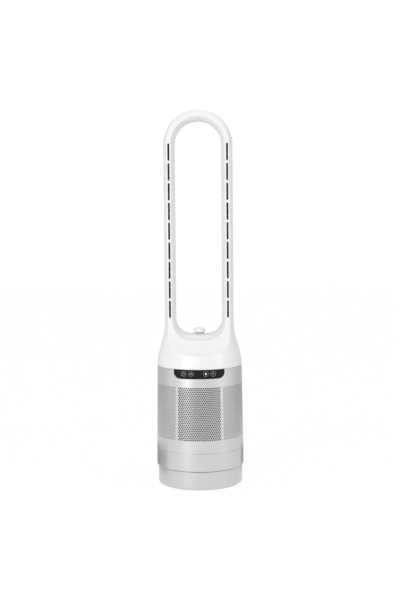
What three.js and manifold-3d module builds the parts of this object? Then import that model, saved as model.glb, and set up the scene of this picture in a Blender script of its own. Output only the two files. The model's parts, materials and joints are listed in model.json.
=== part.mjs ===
// Bladeless tower fan with a slotted air loop, a drum-shaped intake body and an oscillating plinth.
// Millimetres, +Z up. The fan stands on the plane z = 0 and blows towards -Y.
import * as THREE from "three";
import { mergeGeometries, mergeVertices } from "three/addons/utils/BufferGeometryUtils.js";
import Module from "manifold-3d";

const wasm = await Module();
wasm.setup();

// ---------------------------------------------------------------- driving dimensions
// General
const GAP = 0.3; // clearance between two pieces that seat on each other
const HOUSING_WALL = 2.4; // moulded walls of the drum
const BODY_FACETS = 48; // facets round the drum and the collar
const INNER_FACETS = BODY_FACETS / 2; // facets round their inner faces
const RING_FACETS = 20; // facets round inner rings
const SMALL_FACETS = 16; // facets round shafts and bosses
const DEGREE = Math.PI / 180;
const FRONT = -Math.PI / 2; // direction that the fan blows
const REAR = Math.PI / 2;

// Plinth, which stands still
const FOOT_COUNT = 6;
const FOOT_FACETS = 8;
const FOOT_RADIUS = 9;
const FOOT_HEIGHT = 2.5;
const FOOT_INSET = 19.3; // from the side of the plinth in to the middle of a foot
const PLINTH_SETBACK = 3.8; // step from the turning band in to the plinth
const PLINTH_HEIGHT = 46.2;
const PLINTH_EDGE = 4; // rounded lower edge
const PLINTH_LIP = 12; // width of the inward lip at the top
const BASE_PLATE_THICKNESS = 3;
const BALLAST_WIDTH = 18;
const BALLAST_HEIGHT = 14;
const POST_RADIUS = 13;
const POST_BORE = 8;
const POST_FLANGE = 22;
const POST_FLANGE_THICKNESS = 3;
const SLIDE_RING_WIDTH = 7;
const SLIDE_RING_THICKNESS = 2.7;
const WASHER_RADIUS = 19;
const WASHER_THICKNESS = 2;
const INLET_WIDTH = 15;
const INLET_HEIGHT = 12;
const INLET_DEPTH = 14;
const INLET_SETBACK = 0.6;
const INLET_FLANGE = 3;
const INLET_FLANGE_THICKNESS = 2;
const INLET_HOLE = 3.6;
const INLET_LIFT = 24; // height of the inlet's middle

// Oscillation gears
const GEAR_MODULE = 1.25;
const GEAR_TEETH = 64; // teeth of the whole pitch circle that the sector is cut from
const SECTOR_TEETH = 19; // teeth left on the sector
const PINION_TEETH = 16;
const GEAR_WIDTH = 6;
const GEAR_RIM = 9; // rim under the sector's teeth
const TOOTH_ADDENDUM = 0.85; // in modules
const TOOTH_DEDENDUM = 1.25; // in modules
const PRESSURE_ANGLE = 20 * DEGREE;
const BACKLASH = 0.18;
const PINION_SHAFT = 3.2;
const OSCILLATION_MOTOR_RADIUS = 24;
const OSCILLATION_MOTOR_HEIGHT = 22;
const MOTOR_TERMINAL_DEPTH = 6;
const MOTOR_TERMINAL_WIDTH = 14;
const MOTOR_TERMINAL_HEIGHT = 13;
const MOTOR_BORE_DEPTH = 8;
const BRACKET_THICKNESS = 2;
const BRACKET_TOE = 10;
const BRACKET_WIDTH = 14;

// Turntable and lower band
const SEAM = 1.5; // open line between the plinth and the turning body
const LOWER_BAND_RADIUS = 111.1;
const LOWER_BAND_HEIGHT = 44.9;
const TURNTABLE_THICKNESS = 3;
const HUB_WALL = 6;
const HUB_RISE = 11; // hub above the turntable
const RIB_COUNT = 6;
const RIB_HEIGHT = 3;
const STANDOFF_RADIUS = 4;
const STANDOFF_HEIGHT = 5;
const MAIN_BOARD_WIDTH = 76;
const MAIN_BOARD_DEPTH = 40;
const BOARD_THICKNESS = 1.6;
const BOARD_MARGIN = 12; // bare rim of the main board
const TRANSFORMER_WIDTH = 18;
const TRANSFORMER_HEIGHT = 16;
const CAPACITOR_RADIUS = 6;
const CAPACITOR_HEIGHT = 18;
const HEAT_SINK_HEIGHT = 14;
const HEAT_SINK_THICKNESS = 2;
const SOCKET_WIDTH = 10;
const SOCKET_HEIGHT = 7;

// Drum housing
const HOUSING_HEIGHT = 209.3;
const DRUM_TAPER = 3.4; // radius that the drum loses from its foot to its top
const LEDGE_WIDTH = 6; // inner ledges of the drum
const LEDGE_THICKNESS = 3;
const LOWER_RIM_WIDTH = 12;
const DOOR_LOW = 4; // door sill above the housing's lower edge
const UPPER_BAND = 40.3; // plain band from the door up to the drum's top
const DOOR_HALF_ANGLE = 86 * DEGREE;
const DOOR_GAP = 0.4;
const WINDOW_LOW = 31.6; // perforated zone above the housing's lower edge
const WINDOW_TOP_MARGIN = 44; // from the perforated zone up to the drum's top
const WINDOW_HALF_ANGLE = 29.6 * DEGREE;
const HOLE_PITCH = 17; // from one hole to the next in a column
const HOLE_RADIUS = 5.4;
const REAR_HOLE_PITCH = 41; // long holes of the rear cover
const REAR_HOLE_RADIUS = 5.1;
const REAR_HOLE_LENGTH = 35;
const REAR_WINDOW_HALF_ANGLE = 46 * DEGREE;
const PREFILTER_MARGIN = 8; // how far the sheets reach below the windows
const PREFILTER_THICKNESS = 2;
const FRONT_PREFILTER_HALF_ANGLE = 33 * DEGREE;
const SIDE_PREFILTER_END = 84 * DEGREE;

// Display
const DISPLAY_HEIGHT = 22.8;
const DISPLAY_HALF_WIDTH = 62.7;
const DISPLAY_CORNER = 15;
const DISPLAY_THICKNESS = 1.6;
const DISPLAY_FRAME_THICKNESS = 3;
const CONTROL_BOARD_WIDTH = 68;
const PROCESSOR_SIZE = 14;
const PROCESSOR_HEIGHT = 2;
const PLUG_WIDTH = 12;
const PLUG_HEIGHT = 6;
const CONTROL_BOARD_HEIGHT = 28;
const CONTROL_BOARD_SETBACK = 9; // from the display frame's inner face

// Inner cage, deck and blower
const CAGE_CLEARANCE = 2; // from the filter cartridge in to the cage
const CAGE_WIDTH = 8.5;
const CAGE_RING = 3;
const CAGE_POST_WIDTH = 9;
const CAGE_POSTS = 4;
const DECK_THICKNESS = 3;
const DECK_LEDGE = 6; // how far the deck reaches inside the duct
const DECK_HUB = 34;
const DECK_SPOKE = 12;
const DUCT_CLEARANCE = 1; // from the cage in to the flange of the blower's casing
const DUCT_WALL = 2;
const DUCT_FLANGE = 6.5;
const THROAT_STEP = 8; // the casing narrows by this down to the lower end of the blades
const BELL_STEP = 4; // the mouth is wider than the casing by this
const BELL_HEIGHT = 18;
const ISOLATOR_THICKNESS = 3;
const FAN_LIFT = 42; // lower end of the blades above the housing's lower edge
const BLADE_COUNT = 9;
const BLADE_HEIGHT = 42;
const BLADE_THICKNESS = 1.8;
const BLADE_SWEEP = 58 * DEGREE;
const BLADE_LEAN = 14 * DEGREE;
const TIP_CLEARANCE = 1.5;
const HUB_LOW_RADIUS = 18;
const HUB_HIGH_RADIUS = 38;
const HUB_SHELL = 3;
const ROTOR_SHAFT = 4;
const ROTOR_SHAFT_LENGTH = 74;
const NUT_ACROSS = 16;
const NUT_HEIGHT = 5;
const FAN_MOTOR_RADIUS = 32;
const MOTOR_CHAMFER = 5;
const FAN_MOTOR_HEIGHT = 44;
const MOTOR_TO_HUB = 6;
const VANE_COUNT = 7;
const VANE_THICKNESS = 2;
const VANE_RISE = 9; // how far a vane bends to one side
const DIFFUSER_WALL = 2;
const DIFFUSER_HEIGHT = 30;

// Filter cartridge behind the rear cover
const FILTER_SETBACK = 17.7; // from the top of the drum in to the cartridge
const FILTER_DEPTH = 11;
const FILTER_HALF_ANGLE = 80 * DEGREE;
const PLEAT_COUNT = 18;
const PLEAT_PAPER = 1.4;
const FILTER_CAP_THICKNESS = 3.5;
const SHELF_THICKNESS = 3;
const GRIP_HALF_WIDTH = 22;
const GRIP_DEPTH = 9;

// Air loop
const LOOP_HEIGHT = 645; // from the top of the drum to the top of the arch
const LOOP_HALF_WIDTH = 87.4;
const LOOP_DEPTH = 78;
const LOOP_WALL = 2.5;
const OPENING_HALF_WIDTH = 58.8;
const CROTCH_RISE = 80; // saddle of the loop above the drum
const CROTCH_RADIUS = 42;
const FLARE_RISE = 110; // height over which the collar narrows
const FACE_FLARE_TOP = 115; // height where the flat faces begin to flare out
const FACE_FLARE_LOW = 33.5; // height of the flare's lower edge
const FLARE_REACH = 65; // how far the flare runs out from a face
const FLARE_UPPER_PULL = 48; // how far its curve follows the face
const FLARE_LOWER_PULL = 29; // how far its curve follows the lower edge
const FLARE_LOWER_LIFT = 6.5;
const LOOP_SEAM = 0.3;
const LOOP_LIP_WIDTH = 10;
const LOOP_LIP_THICKNESS = 3;
const LOOP_LIP_LIFT = 1.9;
const GASKET_WIDTH = 5;
const SLOT_COUNT = 9;
const SLOT_LENGTH = 43.6;
const SLOT_SPACE = 5.5;
const SLOT_WIDTH = 4.8;
const SLOT_LOW = 122.6; // lower end of the lowest slot above the drum
const GUIDE_WALL = 1;
const GUIDE_DEPTH = 11;
const GUIDE_MARGIN = 0.4;
const GUIDE_SETBACK = 3;
const BRIDGE_STEP = 3; // slots from one bridge of a guide to the next

// Lock knob on the saddle
const KNOB_RADIUS = 15.2;
const KNOB_STEM_RADIUS = 12.2;
const KNOB_STEM_HEIGHT = 1.5;
const KNOB_RIM = 4;
const KNOB_CROWN = 4; // thickness of the cap over the shaft's bore
const KNOB_HEIGHT = 12.3;
const KNOB_SHAFT = 5;
const BUSH_WALL = 2.4;
const BUSH_FLANGE = 11;
const BUSH_FLANGE_THICKNESS = 1.6;
const BUSH_LENGTH = 9;
const LATCH_LENGTH = 56;
const LATCH_WIDTH = 16;
const LATCH_THICKNESS = 4;
const LATCH_LIFT = 16; // latch bar above the deck
const HOOK_WIDTH = 10;
const HOOK_THICKNESS = 4;

// ---------------------------------------------------------------- levels and fitted radii
const doorHeight = HOUSING_HEIGHT - DOOR_LOW - UPPER_BAND;
const windowHeight = HOUSING_HEIGHT - WINDOW_LOW - WINDOW_TOP_MARGIN;
const plinthRadius = LOWER_BAND_RADIUS - PLINTH_SETBACK;
const footCircle = plinthRadius - FOOT_INSET;
const collarRadius = LOWER_BAND_RADIUS - DRUM_TAPER;
const filterInner = collarRadius - FILTER_SETBACK;
const cageOuter = filterInner - CAGE_CLEARANCE;
const ductInner = cageOuter - CAGE_WIDTH - DUCT_CLEARANCE - DUCT_FLANGE; // above the blades
const throatRadius = ductInner - THROAT_STEP;
const bellRadius = ductInner + BELL_STEP;
const plinthFloor = FOOT_HEIGHT;
const plinthTop = plinthFloor + PLINTH_HEIGHT;
const plinthWall = HOUSING_WALL;
const basePlateTop = plinthFloor + BASE_PLATE_THICKNESS;
const slideRingLow = plinthTop + GAP;
const turntableLow = slideRingLow + SLIDE_RING_THICKNESS + GAP;
const turntableTop = turntableLow + TURNTABLE_THICKNESS;
const lowerBandLow = plinthTop + SEAM;
const lowerBandTop = lowerBandLow + LOWER_BAND_HEIGHT;
const housingLow = lowerBandTop + GAP;
const housingTop = housingLow + HOUSING_HEIGHT;
const loopLow = housingTop + GAP;
const doorLow = housingLow + DOOR_LOW;
const doorTop = doorLow + doorHeight;
const windowLow = housingLow + WINDOW_LOW;
const windowTop = windowLow + windowHeight;
const ledgeLow = doorTop + GAP;
const deckLow = ledgeLow + LEDGE_THICKNESS + GAP;
const deckTop = deckLow + DECK_THICKNESS;
const bladeLow = housingLow + FAN_LIFT;
const bladeTop = bladeLow + BLADE_HEIGHT;
const motorLow = bladeTop + MOTOR_TO_HUB;
const motorTop = motorLow + FAN_MOTOR_HEIGHT;
const gearTop = turntableLow - GAP;
const gearLow = gearTop - GEAR_WIDTH;
const gearCentreDistance = (GEAR_MODULE * (GEAR_TEETH + PINION_TEETH)) / 2;
const bracketTop = gearLow - GAP;
const oscillationMotorTop = bracketTop - BRACKET_THICKNESS - GAP;
const oscillationMotorLow = oscillationMotorTop - OSCILLATION_MOTOR_HEIGHT;
const hubTop = turntableTop + HUB_RISE;
const washerLow = hubTop + 2 * GAP;
const loopTop = loopLow + LOOP_HEIGHT;
const archCentre = loopTop - LOOP_HALF_WIDTH;
const saddle = loopLow + CROTCH_RISE;
const latchLow = deckTop + LATCH_LIFT;
const knobLow = saddle + GAP + BUSH_FLANGE_THICKNESS + GAP;

// Outer radius of the tapering drum at a height.
function drumRadius(z) {
  const share = (z - lowerBandTop) / (housingTop - lowerBandTop);
  return LOWER_BAND_RADIUS + (collarRadius - LOWER_BAND_RADIUS) * share;
}

// ---------------------------------------------------------------- solids from geometries
function signedVolume(positions, triangles) {
  let sum = 0;
  for (let t = 0; t < triangles.length; t += 3) {
    const [a, b, c] = [0, 1, 2].map((k) => new THREE.Vector3().fromArray(positions, 3 * triangles[t + k]));
    sum += a.dot(b.cross(c)) / 6;
  }
  return sum;
}

function solid(geometry) {
  const bare = geometry.clone();
  bare.deleteAttribute("normal");
  bare.deleteAttribute("uv");
  const merged = mergeVertices(bare, 1e-4);
  const index = merged.index.array;
  const kept = [];
  for (let t = 0; t < index.length; t += 3) {
    const [a, b, c] = [index[t], index[t + 1], index[t + 2]];
    if (a !== b && b !== c && c !== a) kept.push(a, b, c);
  }
  const positions = Float32Array.from(merged.attributes.position.array);
  if (signedVolume(positions, kept) < 0) kept.reverse();
  const mesh = new wasm.Mesh({ numProp: 3, vertProperties: positions, triVerts: Uint32Array.from(kept) });
  return new wasm.Manifold(mesh);
}

function geometryOf(body) {
  const mesh = body.getMesh();
  const geometry = new THREE.BufferGeometry();
  geometry.setAttribute("position", new THREE.BufferAttribute(Float32Array.from(mesh.vertProperties), 3));
  geometry.setIndex(Array.from(mesh.triVerts));
  geometry.computeVertexNormals();
  return geometry;
}

// ---------------------------------------------------------------- basic forms
// Revolves a closed outline of [radius, height] pairs round the Z axis.
function revolve(outline, facets = BODY_FACETS) {
  const points = [...outline, outline[0]].map(([r, z]) => new THREE.Vector2(r, z));
  return solid(new THREE.LatheGeometry(points, facets).rotateX(Math.PI / 2));
}

function ring(inner, outer, low, high, facets = BODY_FACETS) {
  return revolve([[inner, low], [outer, low], [outer, high], [inner, high]], facets);
}

function disc(radius, low, high, facets = SMALL_FACETS) {
  return revolve([[0, low], [radius, low], [radius, high], [0, high]], facets);
}

function block(x, y, z) {
  const geometry = new THREE.BoxGeometry(x[1] - x[0], y[1] - y[0], z[1] - z[0]);
  return solid(geometry.translate((x[0] + x[1]) / 2, (y[0] + y[1]) / 2, (z[0] + z[1]) / 2));
}

// Extrudes a flat outline of points along Z between two heights.
function upright(points, low, high) {
  const settings = { depth: high - low, bevelEnabled: false };
  const geometry = new THREE.ExtrudeGeometry(new THREE.Shape(points), settings);
  return solid(geometry.translate(0, 0, low));
}

// Extrudes an outline drawn as seen from the front, [x, z], along Y between two depths.
function frontal(points, near, far) {
  const settings = { depth: far - near, bevelEnabled: false };
  const geometry = new THREE.ExtrudeGeometry(new THREE.Shape(points), settings);
  return solid(geometry.rotateX(Math.PI / 2).translate(0, far, 0));
}

function arc(radius, from, to, steps, x = 0, y = 0) {
  return Array.from({ length: steps + 1 }, (_, k) => {
    const angle = from + ((to - from) * k) / steps;
    return new THREE.Vector2(x + radius * Math.cos(angle), y + radius * Math.sin(angle));
  });
}

// A piece of a ring that lies within an angle on both sides of a direction.
function sector(inner, outer, low, high, direction, half, steps = 12) {
  const outside = arc(outer, direction - half, direction + half, steps);
  const inside = arc(inner, direction + half, direction - half, steps);
  return upright([...outside, ...inside], low, high);
}

function turned(body, angle) {
  return body.rotate([0, 0, angle / DEGREE]);
}

// Radial prisms that punch a staggered field of holes, one column in each facet of the drum.
function holeField(direction, half, pitch, radius, length) {
  const facet = (2 * Math.PI) / BODY_FACETS;
  const columns = 2 * Math.floor((half + facet / 10) / facet);
  const rows = Math.floor((windowTop - windowLow - length - pitch / 2) / pitch) + 1;
  const middle = (windowLow + windowTop) / 2;
  const pins = [];
  for (let c = 0; c < columns; c++) {
    const angle = direction + (c - (columns - 1) / 2) * facet;
    const stagger = ((c % 2) - 0.5) * (pitch / 2);
    for (let r = 0; r < rows; r++) {
      const pin = new THREE.CylinderGeometry(radius, radius, 8 * HOUSING_WALL, 6);
      pin.scale(1, 1, length / (2 * radius)).rotateZ(Math.PI / 2);
      pin.translate(drumRadius(middle), 0, middle + (r - (rows - 1) / 2) * pitch + stagger).rotateZ(angle);
      pins.push(pin);
    }
  }
  return solid(mergeGeometries(pins));
}

// ---------------------------------------------------------------- plinth
function plinthShell() {
  const inner = plinthRadius - plinthWall;
  const corner = arc(PLINTH_EDGE, -Math.PI / 2, 0, 2, plinthRadius - PLINTH_EDGE, plinthFloor + PLINTH_EDGE);
  const shell = revolve([
    ...corner.map((p) => [p.x, p.y]),
    [plinthRadius, plinthTop],
    [plinthRadius - PLINTH_LIP, plinthTop],
    [plinthRadius - PLINTH_LIP, plinthTop - plinthWall],
    [inner, plinthTop - plinthWall],
    [inner, plinthFloor + PLINTH_EDGE],
  ]);
  const inletCut = block(
    [-INLET_WIDTH / 2 - GAP, INLET_WIDTH / 2 + GAP],
    [inner - PLINTH_EDGE, plinthRadius + plinthWall],
    [INLET_LIFT - INLET_HEIGHT / 2 - GAP, INLET_LIFT + INLET_HEIGHT / 2 + GAP],
  );
  return shell.subtract(inletCut);
}

function basePlate() {
  return disc(plinthRadius - PLINTH_EDGE - GAP, plinthFloor, basePlateTop, INNER_FACETS);
}

function ballastRing() {
  const outer = plinthRadius - plinthWall - PLINTH_EDGE - GAP - 1;
  const low = basePlateTop + GAP;
  const weight = ring(outer - BALLAST_WIDTH, outer, low, low + BALLAST_HEIGHT, RING_FACETS);
  const inletRoom = block(
    [-INLET_WIDTH / 2 - 2, INLET_WIDTH / 2 + 2],
    [outer - BALLAST_WIDTH - 1, outer + 1],
    [INLET_LIFT - INLET_HEIGHT / 2 - 2, low + BALLAST_HEIGHT + 1],
  );
  return weight.subtract(inletRoom);
}

function foot() {
  const crown = FOOT_RADIUS - 1;
  return revolve(
    [[0, 0], [crown, 0], [FOOT_RADIUS, 1], [FOOT_RADIUS, FOOT_HEIGHT - GAP], [0, FOOT_HEIGHT - GAP]],
    FOOT_FACETS,
  );
}

function powerInlet() {
  const face = plinthRadius - INLET_SETBACK;
  const x = [-INLET_WIDTH / 2, INLET_WIDTH / 2];
  const z = [INLET_LIFT - INLET_HEIGHT / 2, INLET_LIFT + INLET_HEIGHT / 2];
  const flangeFace = plinthRadius - plinthWall - GAP;
  const body = block(x, [face - INLET_DEPTH, face], z);
  const flange = block(
    [x[0] - INLET_FLANGE, x[1] + INLET_FLANGE],
    [flangeFace - 2 * GAP - INLET_FLANGE_THICKNESS, flangeFace - 2 * GAP],
    z,
  );
  const bore = solid(new THREE.CylinderGeometry(INLET_HOLE, INLET_HOLE, INLET_DEPTH - 2, 12));
  const pin = solid(new THREE.CylinderGeometry(1, 1, INLET_DEPTH - 4, 6));
  const centre = [0, face - INLET_DEPTH / 2 + 2, INLET_LIFT];
  const socket = body.add(flange).subtract(bore.translate(centre));
  return socket.add(pin.translate([0, centre[1] - 2, INLET_LIFT]));
}

function pivotPost() {
  const low = basePlateTop + GAP;
  return revolve([
    [POST_BORE, low],
    [POST_FLANGE, low],
    [POST_FLANGE, low + POST_FLANGE_THICKNESS],
    [POST_RADIUS, low + POST_FLANGE_THICKNESS],
    [POST_RADIUS, washerLow - GAP],
    [POST_BORE, washerLow - GAP],
  ], SMALL_FACETS);
}

function pivotWasher() {
  return ring(POST_BORE, WASHER_RADIUS, washerLow, washerLow + WASHER_THICKNESS, SMALL_FACETS);
}

function slideRing() {
  const outer = plinthRadius - GAP;
  const top = slideRingLow + SLIDE_RING_THICKNESS;
  return ring(outer - SLIDE_RING_WIDTH, outer, slideRingLow, top, RING_FACETS);
}

function oscillationMotor() {
  const can = disc(OSCILLATION_MOTOR_RADIUS, oscillationMotorLow, oscillationMotorTop, SMALL_FACETS);
  const terminal = block(
    span(OSCILLATION_MOTOR_RADIUS, MOTOR_TERMINAL_DEPTH),
    span(0, MOTOR_TERMINAL_WIDTH),
    span((oscillationMotorLow + oscillationMotorTop) / 2, MOTOR_TERMINAL_HEIGHT),
  );
  const boreLow = oscillationMotorTop - MOTOR_BORE_DEPTH;
  const bore = disc(PINION_SHAFT + GAP, boreLow, oscillationMotorTop + 1, SMALL_FACETS);
  return can.add(terminal).subtract(bore);
}

function motorBracket() {
  const reach = OSCILLATION_MOTOR_RADIUS + GAP;
  const half = BRACKET_WIDTH / 2;
  const low = basePlateTop + GAP;
  const top = block([-half, half], [-reach - BRACKET_THICKNESS, reach + BRACKET_THICKNESS],
    [bracketTop - BRACKET_THICKNESS, bracketTop]);
  const bridgeLow = bracketTop - BRACKET_THICKNESS;
  const hole = disc(PINION_SHAFT + BRACKET_THICKNESS, bridgeLow - 1, bracketTop + 1, SMALL_FACETS);
  const strut = (side) => {
    const leg = [side * reach, side * (reach + BRACKET_THICKNESS)].sort((a, b) => a - b);
    const toe = [side * reach, side * (reach + BRACKET_TOE)].sort((a, b) => a - b);
    const across = [-half, half];
    const foot = block(across, toe, [low, low + BRACKET_THICKNESS]);
    return block(across, leg, [low, bracketTop]).add(foot);
  };
  return top.subtract(hole).add(strut(1)).add(strut(-1));
}

// ---------------------------------------------------------------- oscillation gears
// Outline of involute teeth from one tooth number to another, each tooth centred on its own angle.
function toothOutline(teeth, from, to) {
  const pitchRadius = (GEAR_MODULE * teeth) / 2;
  const baseRadius = pitchRadius * Math.cos(PRESSURE_ANGLE);
  const tipRadius = pitchRadius + TOOTH_ADDENDUM * GEAR_MODULE;
  const rootRadius = pitchRadius - TOOTH_DEDENDUM * GEAR_MODULE;
  const involute = (angle) => Math.tan(angle) - angle;
  const pitchHalf = Math.PI / (2 * teeth) - BACKLASH / pitchRadius;
  const halfAt = (radius) => pitchHalf + involute(PRESSURE_ANGLE) - involute(Math.acos(baseRadius / radius));
  const rootHalf = halfAt(Math.max(baseRadius, rootRadius) + 0.001);
  const outline = [];
  for (let tooth = from; tooth < to; tooth++) {
    const centre = (2 * Math.PI * tooth) / teeth;
    const flank = [[rootRadius, rootHalf], [pitchRadius, pitchHalf], [tipRadius, halfAt(tipRadius)]];
    const polar = [...flank.map(([radius, half]) => [radius, -half]), ...flank.toReversed()];
    for (const [radius, angle] of polar) {
      outline.push(new THREE.Vector2(radius * Math.cos(centre + angle), radius * Math.sin(centre + angle)));
    }
  }
  return outline;
}

function sectorGear() {
  const rootRadius = (GEAR_MODULE * GEAR_TEETH) / 2 - TOOTH_DEDENDUM * GEAR_MODULE;
  const half = (Math.PI * SECTOR_TEETH) / GEAR_TEETH;
  const first = -(SECTOR_TEETH - 1) / 2;
  const teeth = toothOutline(GEAR_TEETH, first, first + SECTOR_TEETH);
  const rim = arc(rootRadius - GEAR_RIM, half, -half, 8);
  return upright([...teeth, ...rim], gearLow, gearTop);
}

function drivePinion() {
  const gear = upright(toothOutline(PINION_TEETH, 0, PINION_TEETH), gearLow, gearTop - GAP);
  const stub = disc(PINION_SHAFT, oscillationMotorTop - MOTOR_BORE_DEPTH + 1, gearLow + 1, SMALL_FACETS);
  return gear.add(stub);
}

// ---------------------------------------------------------------- turntable and lower band
function turntable() {
  const rim = LOWER_BAND_RADIUS - HOUSING_WALL - GAP;
  const bore = POST_RADIUS + GAP;
  const hub = bore + HUB_WALL;
  let table = revolve([
    [bore, gearLow],
    [hub, gearLow],
    [hub, turntableLow],
    [rim, turntableLow],
    [rim, turntableTop + STANDOFF_HEIGHT],
    [rim - HOUSING_WALL, turntableTop + STANDOFF_HEIGHT],
    [rim - HOUSING_WALL, turntableTop],
    [hub, turntableTop],
    [hub, hubTop],
    [bore, hubTop],
  ], RING_FACETS);
  for (let k = 0; k < RIB_COUNT; k++) {
    const rib = block([hub - 1, rim - 1], [-1, 1], [turntableTop - 1, turntableTop + RIB_HEIGHT]);
    table = table.add(turned(rib, ((k + 0.5) * 2 * Math.PI) / RIB_COUNT));
  }
  for (const side of [-1, 1]) {
    for (const row of [0, 1]) {
      const standoff = disc(STANDOFF_RADIUS, turntableTop - 1, turntableTop + STANDOFF_HEIGHT, 8);
      table = table.add(standoff.translate(boardCorner(side, row)));
    }
  }
  return table;
}

// Centre of one of the main board's four fixing points: side is -1 or 1, row is 0 at the front or 1.
function boardCorner(side, row) {
  const inset = STANDOFF_RADIUS + 1;
  const far = POST_RADIUS + HUB_WALL + 8;
  const y = row ? -far - inset : -far - MAIN_BOARD_DEPTH + inset;
  return [side * (MAIN_BOARD_WIDTH / 2 - inset), y, 0];
}

function mainBoard() {
  const far = POST_RADIUS + HUB_WALL + 8;
  const low = turntableTop + STANDOFF_HEIGHT + GAP;
  const top = low + BOARD_THICKNESS;
  const half = MAIN_BOARD_WIDTH / 2;
  let board = block([-half, half], [-far - MAIN_BOARD_DEPTH, -far], [low, top]);
  const seat = top - 0.5;
  const y = -far - MAIN_BOARD_DEPTH / 2;
  const start = -half + BOARD_MARGIN;
  const transformer = block(
    [start, start + TRANSFORMER_WIDTH],
    span(y, TRANSFORMER_WIDTH),
    [seat, top + TRANSFORMER_HEIGHT],
  );
  const capacitor = disc(CAPACITOR_RADIUS, seat, top + CAPACITOR_HEIGHT, 12);
  const apart = CAPACITOR_RADIUS + BOARD_THICKNESS;
  const heatSink = block(
    [2 * apart - 2 * HEAT_SINK_THICKNESS, 2 * apart - HEAT_SINK_THICKNESS],
    span(y, MAIN_BOARD_DEPTH - BOARD_MARGIN),
    [seat, top + HEAT_SINK_HEIGHT],
  );
  const sockets = block(
    [half - BOARD_MARGIN - SOCKET_WIDTH, half - BOARD_MARGIN],
    span(y, TRANSFORMER_WIDTH),
    [seat, top + SOCKET_HEIGHT],
  );
  board = board.add(transformer).add(heatSink).add(sockets);
  board = board.add(capacitor.translate([0, y + apart, 0])).add(capacitor.translate([0, y - apart, 0]));
  return board;
}

function lowerBand() {
  const inner = LOWER_BAND_RADIUS - HOUSING_WALL;
  return revolve([
    [inner, lowerBandLow],
    [LOWER_BAND_RADIUS, lowerBandLow],
    [LOWER_BAND_RADIUS, lowerBandTop],
    [LOWER_BAND_RADIUS - LOWER_RIM_WIDTH, lowerBandTop],
    [LOWER_BAND_RADIUS - LOWER_RIM_WIDTH, lowerBandTop - HOUSING_WALL],
    [inner, lowerBandTop - HOUSING_WALL],
  ]);
}

// ---------------------------------------------------------------- drum housing
// Solid slice of the drum between two heights, sunk below the outer surface by an inset.
function drumSlice(low, high, inset, facets) {
  const outline = [[0, low], [drumRadius(low) - inset, low], [drumRadius(high) - inset, high], [0, high]];
  return revolve(outline, facets);
}

// Sheet that follows the drum's surface between two heights.
function drumSheet(low, high, inset, thickness, facets) {
  const core = drumSlice(low - 1, high + 1, inset + thickness, facets);
  return drumSlice(low, high, inset, facets).subtract(core);
}

// Both ends of a width that is centred on a place.
const span = (middle, width) => [middle - width / 2, middle + width / 2];

// Radius of the drum's inner corners at a height, and of the largest round thing that fits there.
const innerRadius = (z) => drumRadius(z) - HOUSING_WALL;
const clearRadius = (z) => innerRadius(z) * Math.cos(Math.PI / INNER_FACETS) - GAP;

// Outline of the display as seen from the front, grown by a margin.
function displayOutline(margin) {
  const half = DISPLAY_HALF_WIDTH + margin;
  const low = housingTop - DISPLAY_HEIGHT - margin;
  const corner = DISPLAY_CORNER + margin;
  const right = arc(corner, -Math.PI / 2, 0, 6, half - corner, low + corner);
  const left = arc(corner, Math.PI, 1.5 * Math.PI, 6, -half + corner, low + corner);
  const top = [new THREE.Vector2(half, housingTop + margin), new THREE.Vector2(-half, housingTop + margin)];
  return [...left, ...right, ...top];
}

function mainHousing() {
  const reach = LOWER_BAND_RADIUS + 10;
  const sillTop = housingLow + HOUSING_WALL;
  const ledgeTop = ledgeLow + LEDGE_THICKNESS;
  const flangeLow = housingTop - LEDGE_THICKNESS;
  const hollow = revolve([
    [0, housingLow - 1],
    [LOWER_BAND_RADIUS - LOWER_RIM_WIDTH, housingLow - 1],
    [LOWER_BAND_RADIUS - LOWER_RIM_WIDTH, sillTop],
    [innerRadius(sillTop), sillTop],
    [innerRadius(ledgeLow), ledgeLow],
    [innerRadius(ledgeLow) - LEDGE_WIDTH, ledgeLow],
    [innerRadius(ledgeLow) - LEDGE_WIDTH, ledgeTop],
    [innerRadius(ledgeTop), ledgeTop],
    [innerRadius(flangeLow), flangeLow],
    [innerRadius(flangeLow) - LEDGE_WIDTH, flangeLow],
    [innerRadius(flangeLow) - LEDGE_WIDTH, housingTop + 1],
    [0, housingTop + 1],
  ], INNER_FACETS);
  const shell = drumSlice(housingLow, housingTop, 0, BODY_FACETS).subtract(hollow);
  const door = sector(collarRadius / 2, reach, doorLow, doorTop, REAR, DOOR_HALF_ANGLE);
  const holes = holeField(FRONT, WINDOW_HALF_ANGLE, HOLE_PITCH, HOLE_RADIUS, 2 * HOLE_RADIUS);
  const display = frontal(displayOutline(GAP), -reach, 0);
  const behindDisplay = drumSlice(housingLow, housingTop + 1, HOUSING_WALL + GAP, INNER_FACETS);
  return shell.subtract(door).subtract(holes).subtract(display.subtract(behindDisplay));
}

function displayWindow() {
  const skin = drumSheet(housingTop - 2 * DISPLAY_HEIGHT, housingTop, 0.1, DISPLAY_THICKNESS, BODY_FACETS);
  return skin.intersect(frontal(displayOutline(0), -2 * LOWER_BAND_RADIUS, 0));
}

function displayFrame() {
  const low = housingTop - DISPLAY_HEIGHT + 2;
  const high = housingTop - LEDGE_THICKNESS - GAP;
  const half = Math.asin(DISPLAY_HALF_WIDTH / collarRadius) - 1 * DEGREE;
  const plate = drumSheet(low, high, HOUSING_WALL + GAP, DISPLAY_FRAME_THICKNESS, INNER_FACETS);
  return plate.intersect(sector(collarRadius / 2, 2 * collarRadius, low, high, FRONT, half));
}

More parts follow.
